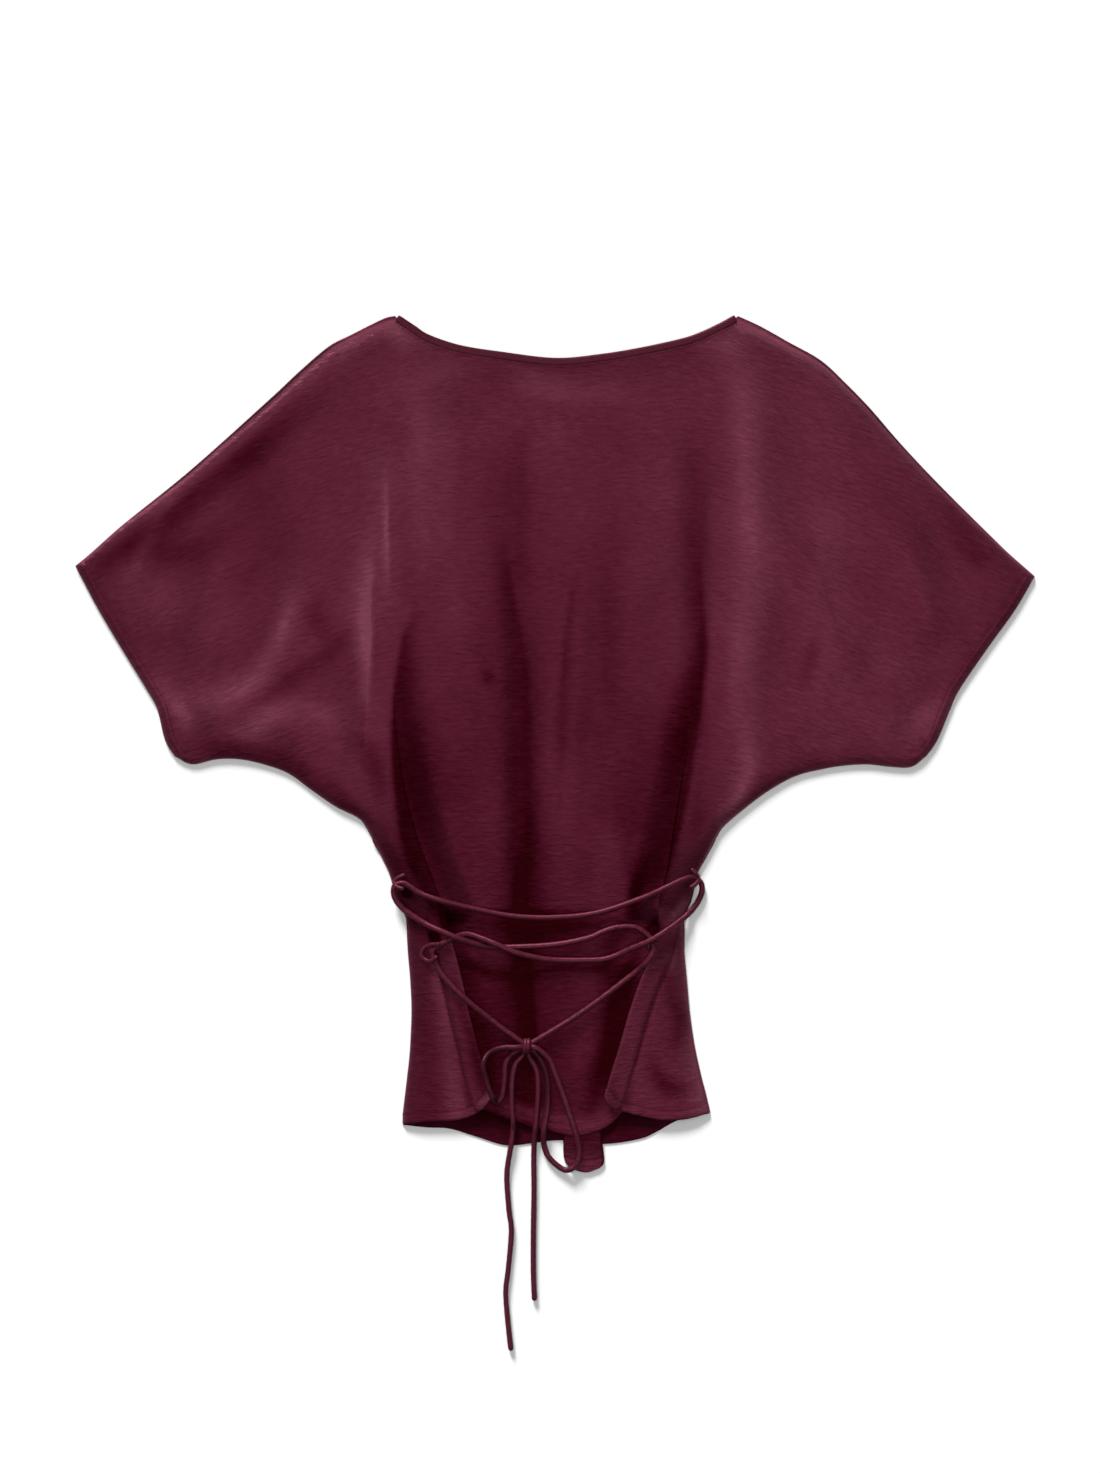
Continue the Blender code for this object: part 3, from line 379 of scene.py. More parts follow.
        (-84, 292, 0.16, 10, 12), (-50, 290, 0, 10, 10)]),
    ("left neck corner", None, [(-134, 318, 0, 8, 8), (-118, 316, 0.3, 9, 10), (-96, 306, 0, 8, 8)]),
    ("right neck corner", None, [(104, 304, 0, 8, 8), (134, 312, 0.26, 10, 10), (156, 308, 0, 8, 8)]),
    ("nape light", None, [(-30, 280, 0, 8, 8), (0, 274, 0.16, 8, 11), (30, 272, 0.12, 8, 10),
        (60, 276, 0, 8, 8)]),
    ("right neck shade", None, [(-34, 300, 0, 5, 6), (0, 296, -0.16, 6, 7), (26, 297, -0.12, 6, 7),
        (50, 300, 0, 5, 6)]),
    ("left shoulder edge", None, [(-124, 326, 0.3, 4, 7), (-160, 312, 0.3, 5, 8),
        (-199, 286, 0.36, 5, 8.5), (-285, 210, 0.36, 5, 8.5), (-339, 168, 0.3, 4, 7),
        (-366, 144, 0.16, 4, 5)]),
    ("right shoulder edge", None, [(143, 326, 0.3, 6, 4), (183, 306, 0.26, 7, 4),
        (226, 276, 0.24, 7, 4), (269, 230, 0.24, 7, 4), (347, 153, 0.2, 6, 4), (370, 130, 0.1, 4, 4)]),
    ("left waist shade", None, [(-138, -50, 0, 6, 7), (-126, -84, -0.24, 7, 8),
        (-116, -108, -0.2, 6, 8), (-108, -128, 0, 6, 6)]),
    ("left top recess", None, [(-118.5, -113.5, -0.3, 2.5, 2.5), (-115.5, -116.2, -1.2, 3, 3),
        (-111, -118, -0.2, 2.5, 2.5)]),
    ("left slit recess", None, [(-88, -122, 0, 3, 3), (-86, -134, -0.6, 3, 3),
        (-83.5, -144, -0.8, 3, 3), (-81, -152, 0, 3, 3)]),
    ("low left recess", -1, [(-98, -147, 0, 3, 3), (-93.5, -149.5, -1.1, 3.6, 3.6),
        (-88, -151, 0, 3, 3)]),
    ("right slit recess", None, [(80, -134, 0, 3, 3), (78, -143, -0.9, 5, 4), (75, -148, -0.7, 4, 3.5),
        (74, -154, 0, 3, 3)]),
    ("left flap shade", -1, [(-110, -134, -0.2, 10, 12), (-98, -150, -0.2, 12, 14),
        (-94, -200, -0.2, 14, 14), (-96, -250, -0.24, 15, 14), (-96, -300, -0.24, 15, 14)]),
    ("left flap light", -1, [(-96, -166, 0, 2, 3), (-93, -184, 0.3, 5, 6), (-88, -204, 0.28, 8, 6),
        (-85, -235, 0.2, 9, 6), (-80, -268, 0.24, 9, 7), (-76, -300, 0.2, 9, 7)]),
    ("left facing shade", -1, [(-79, -170, 0, 4, 4), (-74, -200, -0.16, 6, 7), (-65, -225, -0.36, 7, 9),
        (-59, -250, -0.46, 7, 9), (-56, -266, -0.36, 6, 8), (-54, -276, 0, 5, 6)]),
    ("left flap corner light", -1, [(-66, -284, 0, 4, 4), (-58, -279, 0.24, 4, 4),
        (-50, -274, 0.24, 4, 4)]),
    ("right flap light", 1, [(104, -118, 0, 5, 5), (99, -136, 0.26, 7, 6), (98, -160, 0.16, 8, 8),
        (101, -200, 0.16, 6, 8), (108, -240, 0.3, 8, 8), (118, -300, 0.4, 9, 8)]),
    ("right flap upper light", None, [(106, -112, 0, 2, 4), (98, -125, 0.3, 2.5, 6),
        (89, -137, 0.24, 2.5, 6), (82, -147, 0, 3, 4)]),
    ("right facing light", 1, [(64, -172, 0, 6, 6), (58, -205, 0.1, 6, 7), (52, -240, 0.0, 7, 8),
        (44, -290, -0.1, 8, 10)]),
    ("right flap shade", 1, [(86, -150, -0.16, 8, 8), (88, -190, -0.16, 8, 8), (96, -208, -0.34, 7, 7),
        (97, -222, -0.3, 7, 6), (92, -236, -0.1, 7, 7), (88, -246, 0, 7, 7)]),
    ("right flap fold", 1, [(74, -240, 0, 6, 6), (79, -256, -0.28, 7, 6), (88, -267, -0.36, 8, 6),
        (100, -268, -0.2, 7, 6), (110, -262, 0, 5, 5)]),
    ("left under flap", 0, [(-84, -140, -0.24, 12, 12), (-74, -180, -0.3, 12, 12),
        (-60, -225, -0.26, 12, 11), (-50, -262, -0.2, 12, 10), (-44, -300, -0.1, 10, 10)]),
    ("right under flap", 0, [(72, -145, -0.2, 12, 10), (60, -172, -0.5, 8, 12), (53, -190, -0.6, 9, 14),
        (46, -222, -0.6, 11, 14), (38, -255, -0.5, 11, 12), (32, -272, -0.3, 10, 10),
        (28, -300, 0, 8, 8)]),
    ("right low shade", 0, [(56, -138, 0, 10, 8), (48, -148, -0.28, 11, 9), (43, -168, -0.32, 10, 10),
        (40, -190, -0.16, 9, 9), (38, -206, 0, 8, 8)]),
    ("right flap middle light", 1, [(92, -156, 0, 5, 5), (90, -168, 0.28, 6, 6), (89, -181, 0, 5, 5)]),
    ("left cuff corner light", None, [(-318, 60, 0, 8, 8), (-306, 42, 0.2, 8, 8),
        (-288, 20, 0.24, 8, 8), (-278, 10, 0, 6, 6)]),
    ("left of ridge shade", None, [(-27, 250, 0, 8, 8), (-27, 229, -0.12, 8, 8),
        (-27, 140, -0.11, 8, 8), (-27, 112, 0, 8, 8)]),
    ("right of ridge shade", None, [(43, 190, 0, 11, 11), (43, 150, -0.09, 12, 12),
        (43, 50, -0.09, 12, 12), (43, 20, 0, 10, 10)]),
    ("centre hem light", 0, [(-48, -279, 0.2, 6, 6), (-28, -286, 0.4, 7, 6), (0, -293, 0.34, 8, 6),
        (22, -296, 0.34, 10, 6), (38, -291, 0.2, 8, 6), (46, -287, -0.2, 6, 6)]),
]

# Lacing, bow and tails of the one tie cord.
# Columns: x, y, how far the cord's underside is over what lies below it.
CORD_DIAMETER = 4.3
LOOP_DIAMETER = 3.2
CORD_GAP = 0.3
CORD_UPPER_CROSS = [(-117, -108.5, 0.6), (-105, -116, 0.6), (-91, -121, 0.6), (-64, -128, 3.2),
                    (-32, -134, 4.0), (0, -135, 4.2), (32, -131.5, 4.0), (67, -120, 2.0),
                    (85, -112, 0.6), (104, -104, 0.6)]
CORD_LEFT_TURN = [(-124.8, -110.5, 2.2), (-125, -119, 2.2), (-120, -126.5, 1.2),
                  (-114.5, -131, 0.6), (-101, -139.5, 0.6), (-90, -144.5, 3.0), (-77, -150, 9.4),
                  (-64, -155, 5.2), (-52, -157.5, 1.6), (-32, -158, 1.6), (0, -156, 2.8),
                  (25, -151, 2.8), (37, -146, 2.4), (49, -142.5, 1.4), (62, -142.5, 0.6),
                  (70, -147.0, 0.5), (74.6, -152, 0.5)]
CORD_RIGHT_TURN = [(112.3, -106.5, 1.4), (114.7, -112, 0.8), (113.6, -118, 0.6),
                   (110.4, -124.4, 0.6), (105, -131, 1.0), (98, -137, 0.8),
                   (85, -146, 3.6), (72, -153.5, 8.4), (59, -159, 5.4), (46, -165, 3.0),
                   (33, -168, 3.0), (0, -168, 3.2), (-17, -165.5, 5.0), (-32, -161.5, 7.2),
                   (-46, -155.5, 6.6), (-59, -150.5, 3.0), (-70, -148, 0.5),
                   (-83, -152.5, 0.5), (-90.5, -157.0, 0.6), (-95.2, -160.6, 0.6)]
CORD_LEFT_LEG = [(-94.8, -165.5, 0.6), (-91.5, -172.0, 0.6), (-87.2, -180, 0.6), (-72, -196, 1.6),
                 (-50, -214.5, 2.6), (-27.9, -230.6, 2.4)]
CORD_RIGHT_LEG = [(76.5, -160, 0.6), (72, -168.5, 0.6), (62, -178, 1.4), (33, -200, 2.6),
                  (12, -214.5, 2.6), (-16.2, -231.5, 2.4)]
BOW_LEFT = [(-30, -236, 4.6), (-41, -236.4, 3.2), (-51, -240.5, 0.8), (-55.5, -249, 0.5),
            (-53.5, -260.5, 0.5), (-50, -271, 0.5), (-45.5, -279, 0.5), (-41.5, -276, 0.5),
            (-40, -269, 0.5), (-39, -260.5, 0.5), (-38.4, -250, 0.5), (-35.5, -243.5, 0.4),
            (-30.6, -239.6, 0.4)]
BOW_RIGHT = [(-14.6, -236.6, 3.6), (-5, -245, 1.6), (0, -256, 0.8), (6, -272, 0.8),
             (11, -287, 0.8), (16, -302, 0.8), (19, -317, 0.8), (17, -327, 0.8), (8, -332, 0.8),
             (-4, -323, 0.8), (-8.6, -312, 0.8), (-8.6, -301, 0.8), (-6, -285, 0.8),
             (-5.5, -270, 0.8), (-7, -257, 0.8), (-11, -246.5, 0.5), (-15.4, -240.4, 0.4)]
TAIL_LONG = [(-25.4, -242.8, 0.8), (-30.5, -249, 0.8), (-33.2, -262, 0.8), (-33.6, -280, 0.8),
             (-32.5, -297, 0.8), (-34, -311, 0.8), (-37.5, -335, 0.3), (-36, -362, 0.3),
             (-34, -380, 0.3), (-36.5, -409, 0.3), (-38.5, -427, 0.3), (-37, -448, 0.3),
             (-34.5, -471, 0.3)]
TAIL_SHORT = [(-20.2, -242.9, 0.8), (-15.8, -251, 0.8), (-13.2, -260, 0.8), (-13.4, -280, 0.8),
              (-15.8, -306, 0.8), (-16.5, -322, 0.3), (-16.3, -348, 0.3), (-16.8, -380, 0.3),
              (-16.8, -412, 0.3), (-16, -432, 0.3)]

# The four sewn loops, with the same columns
LOOP_TOP_LEFT = [(-117.5, -102, 0.4), (-122, -104, 1.6), (-124.8, -107.5, 2.2),
                 (-122.6, -111, 4.4), (-118.5, -112.4, 4.6)]
LOOP_TOP_RIGHT = [(107, -98, 0.4), (109.6, -101, 2.4), (111.6, -105, 4.4), (109.4, -109, 4.6),
                  (105.8, -111, 3.4)]
LOOP_LOW_LEFT = [(-90.5, -155.4, 4.6), (-97, -156.2, 2.4), (-102.2, -159.2, 0.6),
                 (-104, -163.6, 0.5), (-101.4, -167.6, 0.5), (-96.6, -168.6, 2.4),
                 (-92.4, -165.6, 4.6)]
LOOP_LOW_RIGHT = [(79.4, -154.6, 0.6), (75.4, -155.4, 4.6), (72.6, -157.6, 4.4),
                  (74.6, -160.2, 4.4), (78.6, -161, 0.6)]

# Where the tie lies in shade. Columns: name, piece, line. Columns of the line: x, y, change, reach.
CORD_SHADES = [
    ("left loop out", "tie_end_left", [(-30, -236, -0.2, 4), (-51, -240, -0.75, 5), (-55, -260, -0.75, 5),
                                       (-48, -276, -0.5, 4)]),
    ("left loop back", "tie_end_left", [(-45, -279, -0.3, 4), (-39.5, -262, -0.25, 3),
                                        (-36, -243, -0.2, 3)]),
    ("right loop back", "tie_end_right", [(-8.6, -290, -0.1, 3), (-6, -272, -0.6, 3),
                                          (-8, -255, -0.8, 3), (-14, -241, -0.6, 3)]),
]

# Knot: the tie's turns round itself
KNOT = (-22.3, -235.2)
KNOT_REACH = 4.0                # how far round its middle it rests on what lies below
KNOT_MIDDLE = 4.8               # its middle over that
KNOT_CORD = 3.6                 # the tie is drawn tight there
KNOT_POINTS = 90
KNOT_TURNS = 1.9
KNOT_START = -0.7 * pi
KNOT_HALF_LONG = 4.7
KNOT_HALF_HIGH = 3.1
KNOT_WIDTH = 4.6                # from the first turn to the last
KNOT_LEFT = 2.4
KNOT_LEAN = 0.2

# How a cord is laid and turned
ROUTE_SPACING = 1.5
LOOP_SPACING = 0.9
ROUTE_STEPS = 12
ROUTE_ROUNDS = 14               # rounds of smoothing of its height
BED_SHARE = 0.8                 # share of its radius that rests on what lies below
RING = 8                        # places round a point where that is looked for
RAY_START = 0.1                 # metres above the floor
UPRIGHT = 0.1                   # a path that starts this steeply has no sideways of its own
CORD_SIDES = 14
LOOP_SIDES = 12
CAP_TURNS = (0.5, 1.0, 1.35)    # rings of a cord's rounded end
CAP_RUNS = (1.0, 0.8, 0.5)
# Ripples of a rouleau. Columns: waves round it, share of its radius, length along it.
RIPPLES = [(1, 0.022, 7.5), (2, 0.016, -4.6)]
SWELL = 0.04                    # slow change of its radius, and its length
SWELL_RUN = 16.0
SEAM_TURN = -1.9                # where its sunk seam lies, how far it wanders and over what length
SEAM_WANDER = 0.9
SEAM_WANDER_RUN = 70.0
SEAM_SUNK = 0.16
SEAM_HALF = 0.3
FLATTENED = (1.06, 0.98)        # its width and height against its diameter

# Colours of the satin by tone: the low end is the painted shade of folds and recesses, the high end the
# painted light of crests and edges. Columns: tone, sRGB colour.
SATIN_SHADES = [(0.0, "#1F0003"), (0.18, "#2E0410"), (0.42, "#3E101E"), (0.6, "#471826"),
                (0.86, "#562635"), (1.0, "#64323F")]

# Woven cloth. Columns: roughness, shine, height of the slub, height of the crinkle, in metres.
SATIN_SIDE = (0.32, 0.5, 0.00006, 0.00042)
CREPE_SIDE = (0.55, 0.1, 0.0001, 0.0003)
SLUB_TONE = 0.28                # how far slub and clouds change the tone
CRINKLE_TONE = 0.38
WEAR_SHARE = 0.45               # ribs against wear in a strip's colour
WAVE_LENGTH = 0.314             # metres between the waves of a wave texture at scale 1
RIB_HEIGHT = 0.00014            # metres
SHEEN = "#A03A58"
# Strips, cord and thread. Columns: light and deep colour, roughness, distance between ribs in
# metres, slant of the ribs in radians.
# On the cord, the deep colour also stands for the painted shade of CORD_SHADES.
ROULEAU = ("#612335", "#21050D", 0.34, 0.0011, 0.75)
STRIP = ("#541A29", "#1E040C", 0.38, 0.0012, 1.2)
THREAD_LOOK = ("#521B2B", "#22050D", 0.5, 0.0009, 0.5)

# Light: a soft key from the neck side, a wide softbox above and a dome
KEY_STRENGTH = 6.1              # watts on a square metre that faces it
KEY_HEIGHT = 23.0               # degrees above the floor
KEY_ROUND = 16.0                # degrees to the left of the neck's side
KEY_SOFT = 18.0                 # degrees that it is wide
OVERHEAD_POWER = 44.0           # watts
OVERHEAD_SIZE = 2.2             # metres
OVERHEAD_HEIGHT = 3.8
DOME = 0.3
FLOOR_HALF = 6000.0
FLOOR_DROP = 0.2                # how far the floor is under the part, so that they don't flicker


def place_camera():
    """Camera straight above the middle of the picture, far enough to take in its long side."""
    data = bpy.data.cameras.new("camera")
    data.lens = LENS
    data.sensor_width = SENSOR
    camera = bpy.data.objects.new("camera", data)
    camera.location = (*(Vector(VIEW_CENTRE) * MM), VIEW_HEIGHT * MM * LENS / SENSOR)
    bpy.context.scene.collection.objects.link(camera)
    bpy.context.scene.camera = camera


def column_reader(table, column):
    """Function that reads one column of a table smoothly, at a value of its first column."""
    rows = sorted(table)
    at = np.array([row[0] for row in rows], float)
    values = np.array([row[column] for row in rows], float)
    steep = np.diff(values) / np.diff(at)
    product = steep[:-1] * steep[1:]
    total = steep[:-1] + steep[1:]
    inner = np.where(product > 0, 2 * product / np.where(total == 0, 1, total), 0)
    slopes = np.concatenate([steep[:1], inner, steep[-1:]])

    def read(x):
        x = np.clip(x, at[0], at[-1])
        i = np.clip(np.searchsorted(at, x) - 1, 0, len(at) - 2)
        width = at[i + 1] - at[i]
        t = (x - at[i]) / width
        start = values[i] * (1 + 2 * t) * (1 - t) ** 2 + slopes[i] * width * t * (1 - t) ** 2
        return start + values[i + 1] * t * t * (3 - 2 * t) - slopes[i + 1] * width * t * t * (1 - t)

    return read


def along(points, shares):
    """Coordinates at shares of the length of a line of points, the last axis one per column."""
    points = np.array(points, float)
    gone = np.concatenate([[0], np.cumsum(np.hypot(*np.diff(points[:, :2], axis=0).T))])
    return np.stack([np.interp(np.asarray(shares) * gone[-1], gone, c) for c in points.T], -1)


def smooth_step(value):
    """0 to 1, with level ends."""
    value = np.clip(value, 0.0, 1.0)
    return value * value * (3 - 2 * value)


def curved(points, steps=CURVE_STEPS):
    """Points of a smooth curve through a line's points, `steps` from each to the next."""
    points = np.array(points, float)
    ends = np.vstack([2 * points[0] - points[1], points, 2 * points[-1] - points[-2]])
    t = np.linspace(0, 1, steps, endpoint=False)[:, None]
    made = [0.5 * (2 * b + (c - a) * t + (2 * a - 5 * b + 4 * c - d) * t ** 2
                   + (3 * b - a - 3 * c + d) * t ** 3)
            for a, b, c, d in zip(ends, ends[1:], ends[2:], ends[3:])]
    return np.vstack(made + [points[-1:]])


def line_distance(points, x, y):
    """Signed distance to a line (above 0 on its right, going down) and the share along it."""
    points = np.array(points, float)[:, :2]
    lengths = np.hypot(*np.diff(points, axis=0).T)
    best = np.full(x.shape, np.inf)
    signed = np.zeros(x.shape)
    share = np.zeros(x.shape)
    gone = 0.0
    for a, b, length in zip(points, points[1:], lengths):
        dx, dy = b - a
        t = np.clip(((x - a[0]) * dx + (y - a[1]) * dy) / length ** 2, 0, 1)
        px, py = x - a[0] - t * dx, y - a[1] - t * dy
        distance = np.hypot(px, py)
        nearer = distance < best
        best = np.where(nearer, distance, best)
        signed = np.where(nearer, np.where(dx * py - dy * px > 0, distance, -distance), signed)
        share = np.where(nearer, (gone + t * length) / lengths.sum(), share)
        gone += length
    return signed, share


left_edge, left_crest, right_crest, right_edge = (column_reader(BODY_SECTIONS, k)
                                                  for k in (1, 2, 3, 4))
neck_height = column_reader(NECKLINE, 1)
LEFT_SEAM = [(row[1], row[0]) for row in BODY_SECTIONS if LEFT_SEAM_END[1] < row[0] < ARMPIT_Y]
RIGHT_SEAM = [(row[4], row[0]) for row in BODY_SECTIONS if RIGHT_SEAM_END[1] < row[0] < ARMPIT_Y]
SEAMS = [curved(line) for line in (LEFT_SHOULDER, RIGHT_SHOULDER,
                                   LEFT_UNDERARM[::-1] + LEFT_SEAM + [LEFT_SEAM_END],
                                   RIGHT_UNDERARM[::-1] + RIGHT_SEAM + [RIGHT_SEAM_END])]
CUFFS = [curved(LEFT_CUFF), curved(RIGHT_CUFF)]
HEMS = {-1: curved(LEFT_FLAP_HEM), 0: curved(CENTRE_HEM), 1: curved(RIGHT_FLAP_HEM)}


def flap_edge(side):
    """Free edge of a side flap, from the top of its slit down to its hem."""
    ys = np.linspace(SLIT_TOP_Y, FLAP_CORNER_Y, FLAP_EDGE_POINTS)
    return np.stack([(left_crest if side < 0 else right_crest)(ys), ys], -1)


FLAP_EDGES = {-1: flap_edge(-1), 1: flap_edge(1)}
# Hems of the back. Columns: line, part of the back that it belongs to, length for the puckers.
HEMMED = ([(line, None, CUFF_LENGTH) for line in CUFFS]
          + [(line, k, FLAP_HEM_LENGTH) for k, line in HEMS.items()])


def nearest(lines, x, y):
    """Distance to the nearest of several lines."""
    return np.min([np.abs(line_distance(line, x, y)[0]) for line in lines], axis=0)


def belongs(side, part):
    """Which points are on a part of the back: -1 and 1 are the flaps, 0 the centre, None is all."""
    return np.full(side.shape, True) if part is None else side == part


def fold_heights(x, y):
    """Sum of the folds at points of the back."""
    height = np.zeros(x.shape)
    for _name, points, rise, left, right, sharp in FOLDS:
        distance, share = line_distance(curved(points), x, y)
        away = np.abs(distance) / np.where(distance > 0, right, left)
        fade = smooth_step(share / FOLD_FADE) * smooth_step((1 - share) / FOLD_FADE)
        form = (1 - sharp) * np.exp(-away ** 2) + sharp * np.exp(-CREASE_FALL * away)
        height += rise * fade * form
    return height


def uneven(x, y, size, seed):
    """Smooth unevenness from about -1 to 1, with bumps of about that size in mm."""
    flat = zip(np.ravel(x) / size, np.ravel(y) / size)
    made = [noise.noise(Vector((a, b, seed))) for a, b in flat]
    return np.array(made).reshape(np.shape(x))


def turned_edge(distance, edge):
    """Height that a turned edge adds: a second ply, a stitched groove and a drop at the edge."""
    width, stitches, ply, step, groove, half, drop, fade = edge
    height = ply * smooth_step((width + step / 2 - distance) / step)
    height = height - groove * np.exp(-((distance - stitches) / half) ** 2)
    return height - drop * np.exp(-distance / fade)


def hem_relief(distance, share, length):
    """Height that a turned hem adds, with the small puckers beside its stitches."""
    run = share * length
    waves = np.sin(run / PUCKER_SHORT) * np.sin(run / PUCKER_LONG + 1)
    place = np.exp(-((distance - PUCKER_IN) / PUCKER_REACH) ** 2)
    relief = turned_edge(distance, HEM_EDGE) + PUCKER_HEIGHT * waves * place
    return np.where(distance < 3 * HEM_WIDTH, relief, 0)


def back_top(x, y, side):
    """Height of the back's upper face; side is -1, 0 or 1 at each point."""
    seam_distance = nearest(SEAMS, x, y)
    widened = smooth_step((ARMPIT_Y - y) / SIDE_ROLL_RUN)
    reach = EDGE_ROLL + (SIDE_ROLL - EDGE_ROLL) * widened
    roll = 1 - np.exp(-np.minimum(seam_distance, nearest(CUFFS, x, y)) / reach)
    neck = NECK_LOFT + (1 - NECK_LOFT) * smooth_step((neck_height(x) - y) / NECK_ROLL)
    swell = LOFT_UNEVEN * uneven(x, y, LOFT_BUMP, LOFT_SEED)
    height = np.maximum(BODY_LOFT + fold_heights(x, y) + swell, 0.0) * roll * neck
    low = smooth_step((STEP_TOP_Y - y) / (STEP_TOP_Y - SLIT_TOP_Y))
    step = FLAP_STEP * low + DROP_MORE * np.exp(-((y - WAIST_Y) / WAIST_REACH) ** 2)
    crest = np.where(x < 0, left_crest(y), right_crest(y))
    out = np.where(x < 0, crest - x, x - crest)
    on_flap = step * np.exp(-np.abs(out) / FLAP_REACH) * roll
    joined = smooth_step((y - SLIT_TOP_Y) / CREST_JOIN + SLIT_SHARE)
    drop = (step + TAIL_SETTLE * BODY_LOFT * low) * joined
    settle = 1 - TAIL_SETTLE * smooth_step((SLIT_TOP_Y + TAIL_SETTLE_RUN - y) / TAIL_SETTLE_RUN)
    in_centre = height * settle + drop * (1 - smooth_step(-out / DROP_RUN))
    top = FRONT_TOP + BACK_WALL + np.where(side == 0, in_centre, height + on_flap)
    for line, part, length in HEMMED:
        distance, share = line_distance(line, x, y)
        top = top + hem_relief(np.abs(distance), share, length) * belongs(side, part)
    faced = smooth_step((SLIT_TOP_Y - y) / FACING_FADE)
    for part, line in FLAP_EDGES.items():
        top = top + turned_edge(nearest([line], x, y), FACING_EDGE) * faced * belongs(side, part)
    into = np.clip(seam_distance / SEAM_ROUND, 0, 1)
    turned = SEAM_LOW + (top - SEAM_LOW) * np.sqrt(1 - (1 - into) ** 2)
    return np.where(into < 1, turned, top)


def crowded(count, places):
    """Shares from 0 to 1 that crowd at places. Columns: share, reach, how much more."""
    fine = np.linspace(0, 1, CROWD_POINTS)
    density = np.ones(len(fine))
    for at, reach, more in places:
        density += more * np.exp(-((fine - at) / reach) ** 2)
    total = np.concatenate([[0], np.cumsum((density[1:] + density[:-1]) / 2)])
    return np.interp(np.linspace(0, total[-1], count + 1), total, fine)


def graded(width, start, end, count, places=()):
    """Shares across a width: set distances from its start and its end, the rest between them."""
    width = np.atleast_1d(np.asarray(width, float))[:, None]
    scale = np.minimum(1.0, width / NARROWEST) / width
    first = np.array(start) * scale
    last = 1 - np.array(end) * scale
    between = crowded(count, places)[1:-1]
    middle = first[:, -1:] + (last[:, :1] - first[:, -1:]) * between
    return np.hstack([first, middle, last])


def patch(edge_a, edge_b, edge_c, edge_d, u, v):
    """Points of a patch with body edge a, outer edge b, top edge c and bottom edge d."""
    u, v = u[..., None], v[..., None]
    corners = ((1 - u) * (1 - v) * edge_a[0, 0] + u * (1 - v) * edge_b[0, 0]
               + (1 - u) * v * edge_a[-1, 0] + u * v * edge_b[-1, 0])
    return (1 - u) * edge_a + u * edge_b + (1 - v) * edge_c + v * edge_d - corners


def body_rows():
    """Shares down the upper block, the waist and the tails."""
    upper = graded(NECK_Y - ARMPIT_Y, SEAM_STEPS, SEAM_STEPS[::-1], UPPER_STEPS)[0]
    waist = np.linspace(0, 1, WAIST_STEPS + 1)[1:]
    tail = graded(TAIL_LENGTH, (0.0,), HEM_STEPS, TAIL_STEPS)[0][1:]
    return upper, waist, tail


def body_block(side):
    """Plan points of one side strip or of the centre, rows from the neck to the hem."""
    upper, waist, tail = body_rows()
    ys = np.concatenate([NECK_Y + (ARMPIT_Y - NECK_Y) * upper,
                         ARMPIT_Y + (SLIT_TOP_Y - ARMPIT_Y) * waist,
                         np.full(len(tail), SLIT_TOP_Y)])
    down = np.concatenate([np.zeros(len(upper) + len(waist)), tail])
    probe = ys + (TAILS_Y - SLIT_TOP_Y) * down
    lines = {-1: (left_edge, left_crest), 0: (left_crest, right_crest), 1: (right_crest, right_edge)}
    start, end = (line(probe) for line in lines[side])
    if side == 0:
        shares = graded(end - start, EDGE_STEPS, EDGE_STEPS[::-1], CENTRE_STEPS, CENTRE_CROWDS)
    elif side < 0:
        shares = graded(end - start, SEAM_STEPS, FACING_STEPS, SIDE_STEPS)
    else:
        shares = graded(end - start, FACING_STEPS[::-1], SEAM_STEPS[::-1], SIDE_STEPS)
    hem = along(HEMS[side], shares)
    y = ys[:, None] + (hem[..., 1] - SLIT_TOP_Y) * down[:, None]
    start, end = (line(y) for line in lines[side])
    tuck = TUCK * smooth_step((SLIT_TOP_Y - y) / TUCK_RUN) if side == 0 else 0.0
    x = start - tuck + (end - start + 2 * tuck) * shares
    x = x + (hem[-1, :, 0] - x[-1]) * smooth_step(1 - (1 - down[:, None]) / HEM_SHAPE_SHARE)
    top_width = BODY_SECTIONS[0][4] - BODY_SECTIONS[0][1]
    beside = (NECKLINE[0][0]
              + (x[0] - BODY_SECTIONS[0][1]) / top_width * (NECKLINE[-1][0] - NECKLINE[0][0]))
    slope = (neck_height(beside + 1) - neck_height(beside - 1)) / 2
    length = np.hypot(slope, 1)
    neck_x = beside + slope / length * BINDING_WIDTH / 2
    neck_y = neck_height(beside) - BINDING_WIDTH / 2 / length
    fade = np.zeros(len(ys))
    fade[:len(upper)] = (1 - upper) ** 2
    x = x + (neck_x - x[0]) * fade[:, None]
    y = y + (neck_y - NECK_Y) * fade[:, None]
    return x, y


def sleeve_block(side):
    """Plan points of a sleeve, rows from the shoulder to the underarm, columns body to cuff."""
    upper = body_rows()[0]
    shoulder, cuff, underarm, reader = (
        (LEFT_SHOULDER, LEFT_CUFF, LEFT_UNDERARM, left_edge) if side < 0
        else (RIGHT_SHOULDER, RIGHT_CUFF, RIGHT_UNDERARM, right_edge))
    shoulder, cuff, underarm = (curved(line) for line in (shoulder, cuff, underarm))
    body_y = NECK_Y + (ARMPIT_Y - NECK_Y) * upper
    body = np.stack([reader(body_y), body_y], -1)
    body[0] = shoulder[0]
    body[-1] = underarm[0]
    reach = np.hypot(*(along(cuff, upper) - body).T)
    out = graded(reach, (0.0,), HEM_STEPS, SLEEVE_STEPS, SLEEVE_CROWDS)
    column_length = np.hypot(*(along(shoulder, out[0]) - along(underarm, out[-1])).T)
    down = np.stack([graded(length, SEAM_STEPS, SEAM_STEPS[::-1], UPPER_STEPS)[0]
                     for length in column_length], 1)
    down[:, 0] = upper
    points = patch(body[:, None], along(cuff, down), along(shoulder, out), along(underarm, out),
                   out, down)
    return points[..., 0], points[..., 1]


